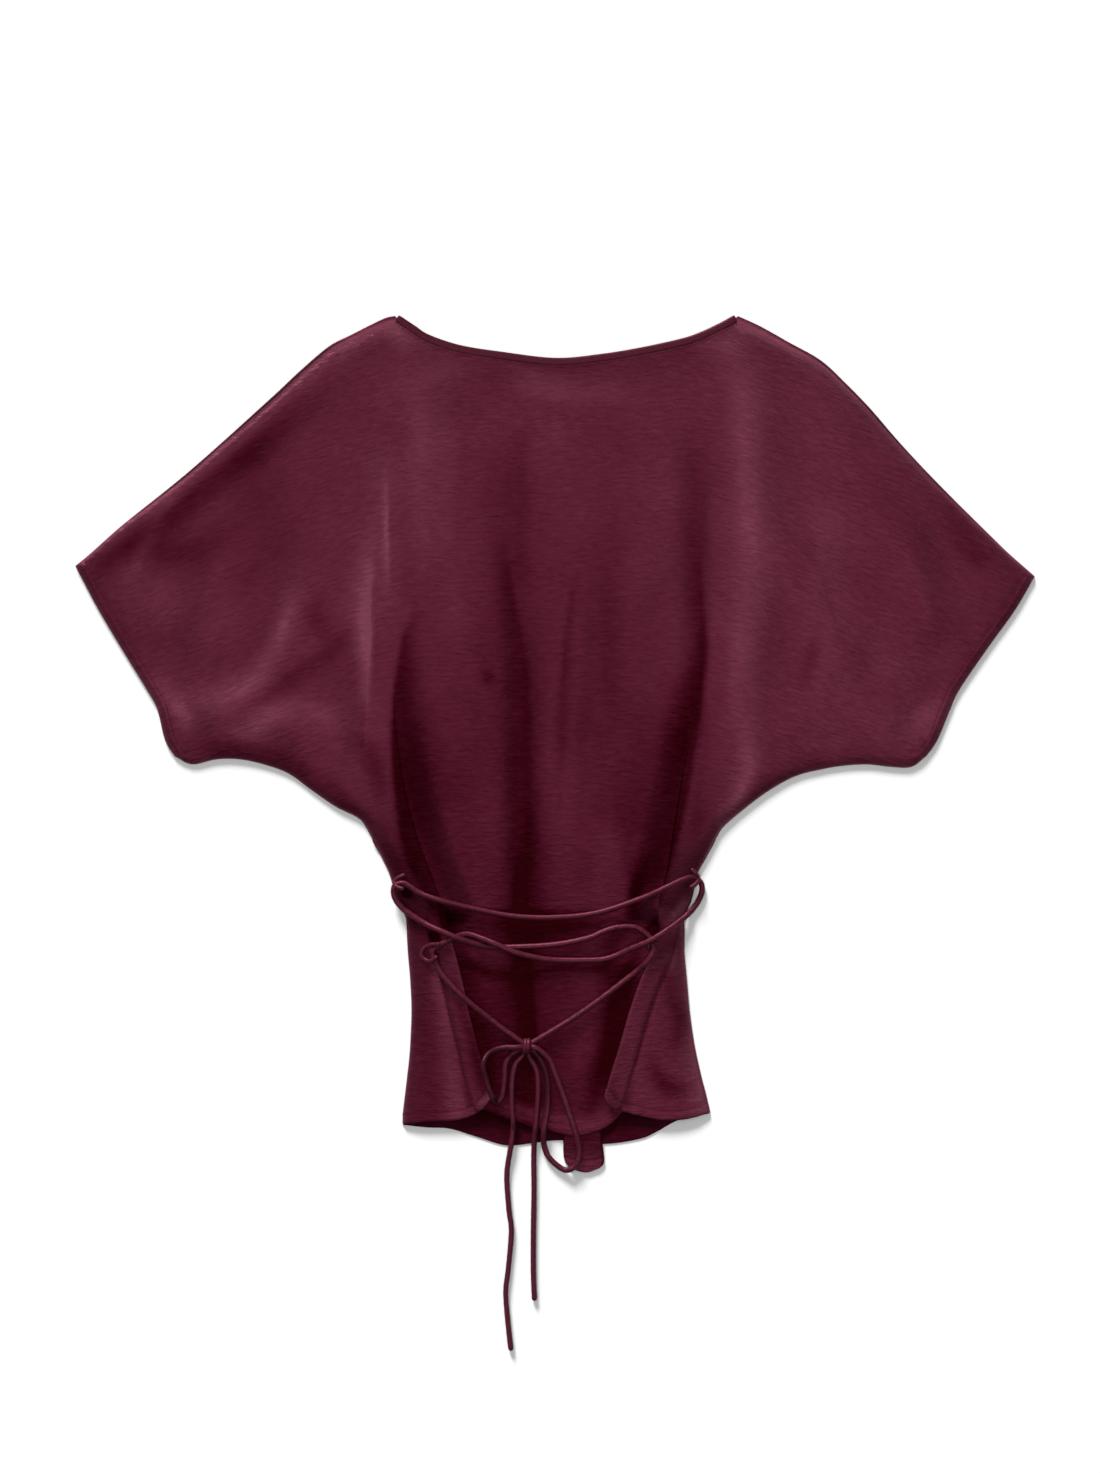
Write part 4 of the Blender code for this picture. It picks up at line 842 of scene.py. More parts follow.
def solid(name, points, faces):
    """Piece made of points in mm and faces."""
    mesh = bpy.data.meshes.new(name)
    mesh.from_pydata((np.array(points, float) * MM).tolist(), [], faces)
    mesh.shade_smooth()
    piece = bpy.data.objects.new(name, mesh)
    bpy.context.scene.collection.objects.link(piece)
    return piece


class Grid:
    """Points and quads of a cloth that is laid out in blocks of rows and columns."""

    def __init__(self):
        self.points = []
        self.sides = []
        self.quads = []
        self.count = 0

    def block(self, x, y, side):
        """Add a block's points; returns their numbers, one for each row and column."""
        numbers = self.count + np.arange(x.size).reshape(x.shape)
        self.points.append(np.stack([x, y], -1).reshape(-1, 2))
        self.sides.append(np.full(x.size, side))
        self.count += x.size
        return numbers

    def faces(self, numbers, flip=False):
        """Add the quads between a block's points."""
        a, b, c, d = numbers[:-1, :-1], numbers[1:, :-1], numbers[1:, 1:], numbers[:-1, 1:]
        quads = np.stack([a, d, c, b] if flip else [a, b, c, d], -1).reshape(-1, 4)
        self.quads.append(quads)

    def done(self):
        """x, y and side of the points that are used, and the quads."""
        quads = np.vstack(self.quads)
        used, quads = np.unique(quads, return_inverse=True)
        points = np.vstack(self.points)[used]
        return points[:, 0], points[:, 1], np.concatenate(self.sides)[used], quads.reshape(-1, 4)


def back_grid():
    """The back with its sleeves, side flaps and centre tail, parted by two slits."""
    grid = Grid()
    upper, waist, _tail = body_rows()
    slit_row = len(upper) + len(waist)
    left_sleeve = grid.block(*sleeve_block(-1), -1)
    left = grid.block(*body_block(-1), -1)
    centre = grid.block(*body_block(0), 0)
    right = grid.block(*body_block(1), 1)
    right_sleeve = grid.block(*sleeve_block(1), 1)
    left[:len(upper), 0] = left_sleeve[:, 0]
    right[:len(upper), -1] = right_sleeve[:, 0]
    centre[:slit_row, 0] = left[:slit_row, -1]
    centre[:slit_row, -1] = right[:slit_row, 0]
    grid.faces(left_sleeve, flip=True)
    grid.faces(left)
    grid.faces(centre)
    grid.faces(right)
    grid.faces(right_sleeve)
    return grid.done()


def shell(name, x, y, top, bottom, quads):
    """Closed thin shell between an upper and a lower face."""
    count = len(x)
    points = np.vstack([np.stack([x, y, top], -1), np.stack([x, y, bottom], -1)])
    edges = np.vstack([quads[:, [k, (k + 1) % 4]] for k in range(4)])
    keys = edges[:, 0].astype(np.int64) * count + edges[:, 1]
    twins = edges[:, 1].astype(np.int64) * count + edges[:, 0]
    open_edges = edges[~np.isin(keys, twins)]
    rim = np.stack([open_edges[:, 1], open_edges[:, 0], open_edges[:, 0] + count,
                    open_edges[:, 1] + count], -1)
    return solid(name, points, np.vstack([quads, quads[:, ::-1] + count, rim]).tolist())


def weave_map(piece):
    """UV map in metres: along the weft and along the warp, which fan out into the sleeves."""
    mesh = piece.data
    co = np.zeros(len(mesh.vertices) * 3)
    mesh.vertices.foreach_get("co", co)
    co = co.reshape(-1, 3)
    out = np.maximum(np.abs(co[:, 0]) - FAN_START, 0)
    uv = np.stack([co[:, 0], co[:, 1] + FAN_SLOPE * out ** 2 / (out + FAN_EASE)], -1)
    loops = np.zeros(len(mesh.loops), int)
    mesh.loops.foreach_get("vertex_index", loops)
    layer = mesh.uv_layers.new(name="weave")
    layer.data.foreach_set("uv", uv[loops].ravel())


def paint(piece, tone=1.0):
    """Keep the tone of each point of a piece, its painted light and shade, for its material to read."""
    values = np.zeros(len(piece.data.vertices), np.float32) + np.asarray(tone, np.float32)
    attribute = piece.data.attributes.new("tone", "FLOAT", "POINT")
    attribute.data.foreach_set("value", values)


def back_painted_shading(x, y, side):
    """Painted light and shade of the back, as a tone from 0, deep, to 1, light."""
    tone = np.full(x.shape, LEVEL_TONE)
    for _name, part, points in PAINTED_SHADING:
        line = curved(points)
        distance, share = line_distance(line, x, y)
        change, left, right = along(line, share)[..., 2:].T
        away = distance / np.maximum(np.where(distance > 0, right, left), 1.0)
        tone += change * np.exp(-away ** 2) * belongs(side, part)
    tone += EDGE_PAINTED_LIGHT * np.exp(-(nearest(SEAMS + CUFFS, x, y) / EDGE_REACH) ** 2)
    stitched = [(line, HEM_STITCH, part) for line, part, _length in HEMMED]
    stitched += [(line, FACING_WIDTH, part) for part, line in FLAP_EDGES.items()]
    for line, inset, part in stitched:
        away = (nearest([line], x, y) - inset) / GROOVE_WIDTH
        tone -= GROOVE_PAINTED_SHADE * np.exp(-away ** 2) * belongs(side, part)
    return tone


def make_back():
    """The back, lying on the front, thicker where its hems are turned."""
    x, y, side, quads = back_grid()
    top = back_top(x, y, side)
    hem_distance = np.full(x.shape, np.inf)
    for line, part, _length in HEMMED:
        nearer = np.minimum(hem_distance, nearest([line], x, y))
        hem_distance = np.where(belongs(side, part), nearer, hem_distance)
    hemmed = smooth_step((HEM_WIDTH + HEM_BLEND / 2 - hem_distance) / HEM_BLEND)
    thick = CLOTH_THICK + (HEM_THICK - CLOTH_THICK) * hemmed
    lowest = np.where(nearest(SEAMS, x, y) < SEAM_ROUND, SEAM_CLEAR, UNDER_CLEAR)
    bottom = np.minimum(np.maximum(top - thick, lowest), top - LEAST_WALL)
    piece = shell("back_satin", x, y, top, bottom, quads)
    weave_map(piece)
    tone = back_painted_shading(x, y, side)
    paint(piece, np.concatenate([tone, tone]))
    return piece


def front_neckline():
    """Front neckline: the back's, lowered most at its middle."""
    start, end = NECKLINE[0][0], NECKLINE[-1][0]
    return [(x, y - FRONT_NECK_DROP * sin(pi * (x - start) / (end - start))) for x, y in NECKLINE]


def make_front():
    """The front, flat on the floor under the back, with a turned hem that shows at the bottom."""
    grid = Grid()
    upper = body_rows()[0]
    edge = len(SEAM_STEPS)
    keep = np.r_[0:edge, edge:len(upper) - edge:2, len(upper) - edge:len(upper)]
    left_x, left_y = sleeve_block(-1)
    right_x, right_y = sleeve_block(1)
    columns_kept = np.r_[0:SLEEVE_STEPS:2, SLEEVE_STEPS:left_x.shape[1]]
    body_upper = NECK_Y + (ARMPIT_Y - NECK_Y) * upper[keep]
    tail_down = graded(FRONT_TAIL_LENGTH, (0.0,), HEM_STEPS, FRONT_TAIL_STEPS)[0][1:]
    lower_y = np.concatenate([body_upper, np.full(len(tail_down), ARMPIT_Y)])
    down = np.concatenate([np.zeros(len(keep)), tail_down])
    shares = np.linspace(0, 1, FRONT_COLUMNS + 1)
    hem = along(curved(FRONT_HEM), shares)
    y = lower_y[:, None] + (hem[:, 1] - ARMPIT_Y) * down[:, None]
    start, end = left_edge(y), right_edge(y)
    x = start + (end - start) * shares
    x = x + (hem[:, 0] - x[-1]) * smooth_step(1 - (1 - down[:, None]) / HEM_SHAPE_SHARE)
    neck = along(front_neckline(), shares)
    fade = np.zeros(len(lower_y))
    fade[:len(keep)] = (1 - upper[keep]) ** 2
    x = x + (neck[:, 0] - x[0]) * fade[:, None]
    y = y + (neck[:, 1] - BINDING_WIDTH / 2 - NECK_Y) * fade[:, None]
    body = grid.block(x, y, 0)
    left = grid.block(left_x[keep][:, columns_kept], left_y[keep][:, columns_kept], -1)
    right = grid.block(right_x[keep][:, columns_kept], right_y[keep][:, columns_kept], 1)
    body[:len(keep), 0] = left[:, 0]
    body[:len(keep), -1] = right[:, 0]
    grid.faces(left, flip=True)
    grid.faces(body)
    grid.faces(right)
    x, y, _side, quads = grid.done()
    for line in SEAMS:
        near = nearest([line], x, y) < SEAM_NEAR
        x = np.where(near, x - np.sign(x) * FRONT_INSET, x)
        inward = np.sign(y - SLEEVE_MIDDLE_Y) * FRONT_INSET
        y = np.where(near & (y > ARMPIT_Y), y - inward, y)
    distance, share = line_distance(curved(FRONT_HEM), x, y)
    distance = np.abs(distance)
    top = np.maximum(FRONT_THICK + hem_relief(distance, share, FRONT_HEM_LENGTH), FRONT_LEAST)
    piece = shell("front_satin", x, y, top, np.zeros(len(x)), quads)
    weave_map(piece)
    # Painted shade: the front is darkest up inside under the back, a little lighter at its hem
    tone = FRONT_TONE * np.exp(-(distance / FRONT_SHADE) ** 2)
    paint(piece, np.concatenate([tone, tone]))
    return piece


def node(tree, kind, inputs=None, **settings):
    """Add a node with its settings; inputs are values, or the sockets that feed them."""
    made = tree.nodes.new(kind)
    for key, value in settings.items():
        setattr(made, key, value)
    for key, value in (inputs or {}).items():
        if isinstance(value, bpy.types.NodeSocket):
            tree.links.new(value, made.inputs[key])
        else:
            made.inputs[key].default_value = value
    return made


def linear(code):
    """Linear colour of an sRGB hex code."""
    parts = [int(code[k:k + 2], 16) / 255 for k in (1, 3, 5)]
    return (*(c / 12.92 if c <= 0.04045 else ((c + 0.055) / 1.055) ** 2.4 for c in parts), 1.0)


def fabric(name, roughness, **sockets):
    """Material whose constants sit on its shader's own sockets."""
    material = bpy.data.materials.new(name)
    material.use_nodes = True
    shader = material.node_tree.nodes["Principled BSDF"]
    shader.inputs["Roughness"].default_value = roughness
    for key, value in sockets.items():
        shader.inputs[key.replace("_", " ")].default_value = value
    return material, material.node_tree, shader


def woven(name, roughness, shine, slub_height, crinkle_height):
    """Crepe-back satin, woven from twisted polyester filament: long floats that shine softly over
    a crosswise slub. The eye gets a smooth bloom on the level parts and dark slopes."""
    material, tree, shader = fabric(
        name, roughness, IOR=1.5, Specular_IOR_Level=0.01, Metallic=shine, Sheen_Weight=0.02,
        Sheen_Roughness=0.4, Sheen_Tint=linear(SHEEN))
    place = node(tree, "ShaderNodeUVMap", uv_map="weave")
    # tone: the painted light and shade that the pieces carry, which picks the base colour
    tone = node(tree, "ShaderNodeAttribute", attribute_name="tone")
    # Slub: real yarns are 0.15 mm apart, drawn 1.2 mm apart and 8 mm long so that they show
    crosswise = node(tree, "ShaderNodeMapping", {"Vector": place.outputs[0],
                                                 "Scale": (125.0, 830.0, 1.0)})
    slub = node(tree, "ShaderNodeTexNoise", {"Vector": crosswise.outputs[0], "Scale": 1.0,
                                             "Detail": 3.0, "Roughness": 0.6})
    # Crinkle of the crepe side: creases 9 mm long and 2.6 mm apart, a little across the weft
    slanted = node(tree, "ShaderNodeMapping", {"Vector": place.outputs[0],
                                               "Rotation": (0.0, 0.0, -0.2),
                                               "Scale": (110.0, 390.0, 1.0)})
    crinkle = node(tree, "ShaderNodeTexNoise", {"Vector": slanted.outputs[0], "Scale": 1.0,
                                                "Detail": 4.0, "Roughness": 0.55,
                                                "Distortion": 0.6})
    # Clouds of handling 60 mm across, where the floats lie a little differently
    cloud = node(tree, "ShaderNodeTexNoise", {"Vector": place.outputs[0], "Scale": 16.0,
                                              "Detail": 2.0})
    mottle = node(tree, "ShaderNodeMath", {0: slub.outputs["Fac"], 1: cloud.outputs["Fac"]},
                  operation="ADD")
    centred = node(tree, "ShaderNodeMath", {0: mottle.outputs[0], 1: -1.0}, operation="ADD")
    uneven_tone = node(tree, "ShaderNodeMath", {0: centred.outputs[0], 1: SLUB_TONE,
                                                2: tone.outputs["Fac"]},
                       operation="MULTIPLY_ADD")
    ridges = node(tree, "ShaderNodeMath", {0: crinkle.outputs["Fac"], 1: -0.5}, operation="ADD")
    factor = node(tree, "ShaderNodeMath", {0: ridges.outputs[0], 1: CRINKLE_TONE,
                                           2: uneven_tone.outputs[0]}, operation="MULTIPLY_ADD",
                  use_clamp=True)
    # The painted tone picks the colour: painted shade in the folds is redder and fuller, painted light on
    # the level parts paler
    shade = node(tree, "ShaderNodeValToRGB", {"Fac": factor.outputs[0]})
    stops = shade.color_ramp.elements
    for level, _code in SATIN_SHADES[1:-1]:
        stops.new(level)
    for stop, (level, code) in zip(stops, SATIN_SHADES):
        stop.position = level
        stop.color = linear(code)
    tree.links.new(shade.outputs["Color"], shader.inputs["Base Color"])
    dull = node(tree, "ShaderNodeMapRange", {"Value": slub.outputs["Fac"], "From Min": 0.3,
                                             "From Max": 0.7, "To Min": roughness - 0.05,
                                             "To Max": roughness + 0.07})
    tree.links.new(dull.outputs[0], shader.inputs["Roughness"])
    creased = node(tree, "ShaderNodeBump", {"Height": crinkle.outputs["Fac"],
                                            "Distance": crinkle_height})
    ribbed = node(tree, "ShaderNodeBump", {"Height": slub.outputs["Fac"], "Distance": slub_height,
                                           "Normal": creased.outputs[0]})
    tree.links.new(ribbed.outputs[0], shader.inputs["Normal"])
    return material


def twisted(name, light, deep, roughness, pitch, slant):
    """Strips, cords and thread of the same colour, cut or spun on the slant: the eye gets fine ribs
    that wind round, a narrow soft gleam along the top and paler wear on it."""
    material, tree, shader = fabric(
        name, roughness, IOR=1.5, Specular_IOR_Level=0.08, Metallic=0.3, Sheen_Weight=0.03,
        Sheen_Roughness=0.35, Sheen_Tint=linear(SHEEN))
    place = node(tree, "ShaderNodeUVMap", uv_map="weave")
    turned = node(tree, "ShaderNodeMapping", {"Vector": place.outputs[0],
                                              "Rotation": (0.0, 0.0, slant)})
    # Ribs stand for threads 0.15 mm apart, drawn coarser so that they show
    ribs = node(tree, "ShaderNodeTexWave", {"Vector": turned.outputs[0], "Scale": WAVE_LENGTH / pitch,
                                            "Distortion": 1.5, "Detail": 1.0})
    wear = node(tree, "ShaderNodeTexNoise", {"Vector": place.outputs[0], "Scale": 260.0,
                                             "Detail": 3.0})
    mixed = node(tree, "ShaderNodeMix", {"Factor": WEAR_SHARE, "A": wear.outputs["Fac"],
                                         "B": ribs.outputs["Fac"]}, data_type="FLOAT")
    # tone: painted shade where the tie lies in shade, 1 elsewhere; it pulls the colour towards the deep
    # one
    tone = node(tree, "ShaderNodeAttribute", attribute_name="tone")
    factor = node(tree, "ShaderNodeMath", {0: mixed.outputs["Result"], 1: tone.outputs["Fac"]},
                  operation="MULTIPLY")
    shade = node(tree, "ShaderNodeMix", {"Factor": factor.outputs[0], "A": linear(deep),
                                         "B": linear(light)}, data_type="RGBA")
    tree.links.new(shade.outputs["Result"], shader.inputs["Base Color"])
    dull = node(tree, "ShaderNodeMapRange", {"Value": wear.outputs["Fac"], "From Min": 0.3,
                                             "From Max": 0.7, "To Min": roughness - 0.06,
                                             "To Max": roughness + 0.08})
    tree.links.new(dull.outputs[0], shader.inputs["Roughness"])
    ribbed = node(tree, "ShaderNodeBump", {"Height": mixed.outputs["Result"],
                                           "Distance": RIB_HEIGHT})
    tree.links.new(ribbed.outputs[0], shader.inputs["Normal"])
    return material


def floor_paper():
    """Matt white studio paper, with a trace of tooth."""
    material, tree, shader = fabric("floor_paper", 0.9, Specular_IOR_Level=0.1)
    place = node(tree, "ShaderNodeTexCoord")
    tooth = node(tree, "ShaderNodeTexNoise", {"Vector": place.outputs["Object"], "Scale": 900.0})
    shade = node(tree, "ShaderNodeMix", {"Factor": tooth.outputs["Fac"], "A": linear("#E6E6E6"),
                                         "B": linear("#EAEAEA")}, data_type="RGBA")
    tree.links.new(shade.outputs["Result"], shader.inputs["Base Color"])
    return material


def dressed(piece, slot, material, *nodes):
    """Give a piece its material and the nodes that it stands for; the slot is not used."""
    piece.data.materials.append(material)
    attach(piece, BODY)
    if nodes:
        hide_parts(*nodes)
    return piece


class Ground:
    """Finds the top of laid pieces below a point, in mm."""

    def __init__(self, *pieces):
        graph = bpy.context.evaluated_depsgraph_get()
        self.trees = [BVHTree.FromObject(piece, graph) for piece in pieces]

    def at(self, x, y):
        """Top of the highest piece at a point; the floor is 0."""
        start = Vector((x * MM, y * MM, RAY_START))
        hits = [tree.ray_cast(start, Vector((0, 0, -1)))[0] for tree in self.trees]
        return max([0.0] + [hit.z / MM for hit in hits if hit is not None])

    def top(self, x, y, reach):
        """Highest cloth within `reach` of a point in plan; the floor is 0."""
        turns = [k * 2 * pi / RING for k in range(RING)]
        ring = [(reach * cos(turn), reach * sin(turn)) for turn in turns]
        return max(self.at(x + dx, y + dy) for dx, dy in [(0, 0)] + ring)


def route(points, ground, radius, spacing):
    """Smooth route through given points, laid over the cloth, at an even spacing in mm."""
    placed = [(x, y, ground.top(x, y, radius * BED_SHARE) + over + radius)
              for x, y, over in points]
    fine = curved(placed, ROUTE_STEPS)
    lowest = np.array([ground.top(x, y, radius) + radius + CORD_GAP for x, y, _z in fine])
    heights = np.maximum(fine[:, 2], lowest)
    for _ in range(ROUTE_ROUNDS):
        heights[1:-1] = (heights[:-2] + 2 * heights[1:-1] + heights[2:]) / 4
        heights = np.maximum(heights, lowest)
    laid = np.column_stack([fine[:, :2], heights])
    gone = np.hypot(*np.diff(laid[:, :2], axis=0).T).sum()
    return along(laid, np.linspace(0, 1, max(4, round(gone / spacing)) + 1))


def sweep(name, path, outline, sides=CORD_SIDES, across=None):
    """Tube along a path in mm. outline(run, turn) gives its half width and half height there.

    across holds the sideways direction at each point of a closed strip, which has no ends."""
    path = np.array(path, float)
    closed = across is not None
    run = np.concatenate([[0], np.cumsum(np.linalg.norm(np.diff(path, axis=0), axis=1))])
    if closed:
        tangents = np.roll(path, -1, axis=0) - np.roll(path, 1, axis=0)
    else:
        tangents = np.gradient(path, axis=0)
    tangents /= np.linalg.norm(tangents, axis=1)[:, None]
    turn = np.arange(sides) * 2 * pi / sides
    side = np.cross(tangents[0], (0, 0, 1.0))
    if np.linalg.norm(side) < UPRIGHT:
        side = np.array((1.0, 0, 0))
    rings = []
    for k, (point, tangent) in enumerate(zip(path, tangents)):
        side = across[k] if closed else side
        side = side - tangent * side.dot(tangent)
        side /= np.linalg.norm(side)
        up = np.cross(tangent, side)
        wide, high = outline(run[k], turn)
        rings.append(point + np.outer(np.cos(turn) * wide, side) + np.outer(np.sin(turn) * high, up))
    if not closed:
        half = np.linalg.norm(rings[0] - path[0], axis=1).min()
        ends = [[centre + (ring - centre) * cos(a) + way * half * sin(a) for a in CAP_TURNS]
                for ring, centre, way in ((rings[0], path[0], -tangents[0]),
                                          (rings[-1], path[-1], tangents[-1]))]
        rings = ends[0][::-1] + rings + ends[1]
        run = np.concatenate([run[0] - half * np.array(CAP_RUNS), run,
                              run[-1] + half * np.array(CAP_RUNS[::-1])])
    count = len(rings)
    numbers = np.arange(count * sides).reshape(count, sides)
    ahead = np.roll(numbers, -1, axis=0) if closed else numbers[1:]
    here = numbers if closed else numbers[:-1]
    quads = np.stack([here, np.roll(here, -1, axis=1), np.roll(ahead, -1, axis=1), ahead], -1)
    faces = quads.reshape(-1, 4).tolist()
    caps = [] if closed else [numbers[0][::-1].tolist(), numbers[-1].tolist()]
    piece = solid(name, np.vstack(rings), faces + caps)
    girth = 2 * pi * float(np.mean(outline(run[0], turn))) / sides
    starts = run[:len(here)]
    stops = np.append(run[1:], run[-1] + ROUTE_SPACING)[:len(here)]
    u = np.stack([starts, starts, stops, stops], -1)[:, None, :].repeat(sides, axis=1)
    turns = np.arange(sides)
    v = np.stack([turns, turns + 1, turns + 1, turns], -1)[None].repeat(len(here), axis=0) * girth
    uv = np.stack([u, v], -1).reshape(-1, 2) * MM
    uv = np.vstack([uv, np.zeros((len(caps) * sides, 2))])
    piece.data.uv_layers.new(name="weave").data.foreach_set("uv", uv.ravel())
    return piece


def rouleau(diameter, seed):
    """Outline of a bias-cut tube turned right side out: a sunk seam and slanting ripples."""
    half = diameter / 2

    def outline(run, turn):
        size = 1 + SWELL * noise.noise(Vector((run / SWELL_RUN, seed, 0.0)))
        for waves, height, length in RIPPLES:
            size = size + height * np.sin(waves * (turn + seed) + run * 2 * pi / length)
        seam_turn = SEAM_TURN + SEAM_WANDER * noise.noise(Vector((run / SEAM_WANDER_RUN, seed, 5.0)))
        gap = np.angle(np.exp(1j * (turn - seam_turn)))
        made = half * size - SEAM_SUNK * np.exp(-(gap / SEAM_HALF) ** 2)
        return made * FLATTENED[0], made * FLATTENED[1]

    return outline


def make_cord(name, points, ground, nodes, seed):
    """One stretch of the tie cord, which starts in the knot."""
    path = route(points, ground, CORD_DIAMETER / 2, ROUTE_SPACING)
    cord = dressed(sweep(name, path, rouleau(CORD_DIAMETER, seed)), "cord", CORD_SATIN, *nodes)
    places = np.array([vertex.co[:2] for vertex in cord.data.vertices]) / MM
    # Painted shade along the stretches that lie in shade
    tone = np.full(len(places), 1.0)
    for _name, only, line in CORD_SHADES:
        if only == name:
            distance, share = line_distance(line, *places.T)
            change, reach = along(line, share)[..., 2:].T
            tone += change * np.exp(-(distance / reach) ** 4)
    paint(cord, tone)
    return cord


def make_cords(ground):
    """The tie: its lacing from knot to knot, and each bow loop with the tail that it runs into."""
    lacing = ([(-21.5, -234.5, 1.6)] + CORD_LEFT_LEG[::-1] + CORD_RIGHT_TURN[::-1]
              + CORD_UPPER_CROSS[::-1] + CORD_LEFT_TURN + CORD_RIGHT_LEG + [(-22, -234.8, 1.6)])
    left = [(-23, -235.6, 2.2)] + BOW_LEFT + [(-23.5, -236.6, 0.6)] + TAIL_LONG
    right = [(-21.5, -235.6, 2.2)] + BOW_RIGHT + [(-20.5, -236.6, 0.6)] + TAIL_SHORT
    make_cord("lacing_cord", lacing, ground,
              ("cord_left_leg", "cord_right_turn", "cord_upper_cross", "cord_left_turn",
               "cord_right_leg"), 1.0)
    make_cord("tie_end_left", left, ground, ("bow_loop_left", "tail_long"), 2.0)
    make_cord("tie_end_right", right, ground, ("bow_loop_right", "tail_short"), 3.0)


def make_knot(ground):
    """Knot of the bow: two tight turns of the cord over the strands that go through it."""
    middle = ground.top(*KNOT, KNOT_REACH) + CORD_GAP + KNOT_MIDDLE
    share = np.linspace(0, 1, KNOT_POINTS)
    angle = KNOT_START + share * 2 * pi * KNOT_TURNS
    y = KNOT_HALF_LONG * np.cos(angle)
    path = np.column_stack([KNOT[0] - KNOT_LEFT + KNOT_WIDTH * share + KNOT_LEAN * y, KNOT[1] + y,
                            middle + KNOT_HALF_HIGH * np.sin(angle)])
    knot = sweep("bow_knot", path, rouleau(KNOT_CORD, 9.0))
    paint(knot)
    return dressed(knot, "cord", CORD_SATIN, "tie_knot")


def make_loops(ground):
    """Four thin loops that the cord runs through, sewn in at the side seams and slit edges."""
    for seed, (name, points) in enumerate((
            ("loop_top_left", LOOP_TOP_LEFT), ("loop_top_right", LOOP_TOP_RIGHT),
            ("loop_low_left", LOOP_LOW_LEFT), ("loop_low_right", LOOP_LOW_RIGHT))):
        path = route(points, ground, LOOP_DIAMETER / 2, LOOP_SPACING)
        piece = sweep("sewn_" + name, path, rouleau(LOOP_DIAMETER, 20.0 + seed), LOOP_SIDES)
        paint(piece)
        dressed(piece, "cord", CORD_SATIN, name)


def make_binding():
    """Folded strip all round the neck: along the back's edge, then back along the front's."""
    shares = np.linspace(BINDING_ENDS, 1 - BINDING_ENDS, BINDING_STEPS)
    back_line = along(curved(NECKLINE), shares)
    front_line = along(curved(front_neckline()), shares)[::-1]
    back_steps, front_steps = np.gradient(back_line, axis=0), np.gradient(front_line, axis=0)
    middle, half = (BINDING_HIGH + BINDING_LOW) / 2, (BINDING_HIGH - BINDING_LOW) / 2
    turns = np.linspace(0, pi, BINDING_TURN_STEPS)[1:-1]
    rows = []

    def put(x, y, z, step, thick):
        inward = np.array((step[1], -step[0], 0.0)) / hypot(*step)
        inward = inward if inward[1] < 0 else -inward
        rows.append((np.array((x, y, z)) + inward * BINDING_WIDTH / 2, inward, thick))

    def turn_round(end, way):
        for a in turns:
            out = half * sin(a)
            put(back_line[end, 0] + way * out, back_line[end, 1] + BINDING_TURN_OUT * out,
                middle + way * half * cos(a), back_steps[end], BINDING_FRONT_THICK)

    for (x, y), step in zip(back_line, back_steps):
        put(x, y, BINDING_HIGH, step, BINDING_THICK)
    turn_round(-1, 1)
    for (x, y), step in zip(front_line, front_steps):
        put(x, y, BINDING_LOW, step, BINDING_FRONT_THICK)
    turn_round(0, -1)
    path, across, thick = (np.array([row[k] for row in rows]) for k in range(3))
    run = np.concatenate([[0], np.cumsum(np.linalg.norm(np.diff(path, axis=0), axis=1))])
    ends = BINDING_SMOOTH // 2
    thick = np.convolve(np.concatenate([thick[-ends:], thick, thick[:ends]]),
                        np.ones(BINDING_SMOOTH) / BINDING_SMOOTH, "valid")

    def outline(at, turn):
        pucker = 1 + BINDING_PUCKER * sin(at / BINDING_WAVES[0]) * sin(at / BINDING_WAVES[1])
        # Squarer than an ellipse: its flat sides are wider, its turned edges tighter
        level = np.maximum(np.abs(np.cos(turn)), LEAST_TURN)
        steep = np.maximum(np.abs(np.sin(turn)), LEAST_TURN)
        wide = BINDING_WIDTH / 2 * level ** -BINDING_SQUARE[0]
        high = np.interp(at, run, thick) / 2 * pucker * steep ** -BINDING_SQUARE[1]
        return wide, high

    piece = sweep("neck_binding", path, outline, BINDING_SIDES, across)
    paint(piece)
    return dressed(piece, "binding", BINDING_SATIN, "neck_binding_back", "neck_binding_front")


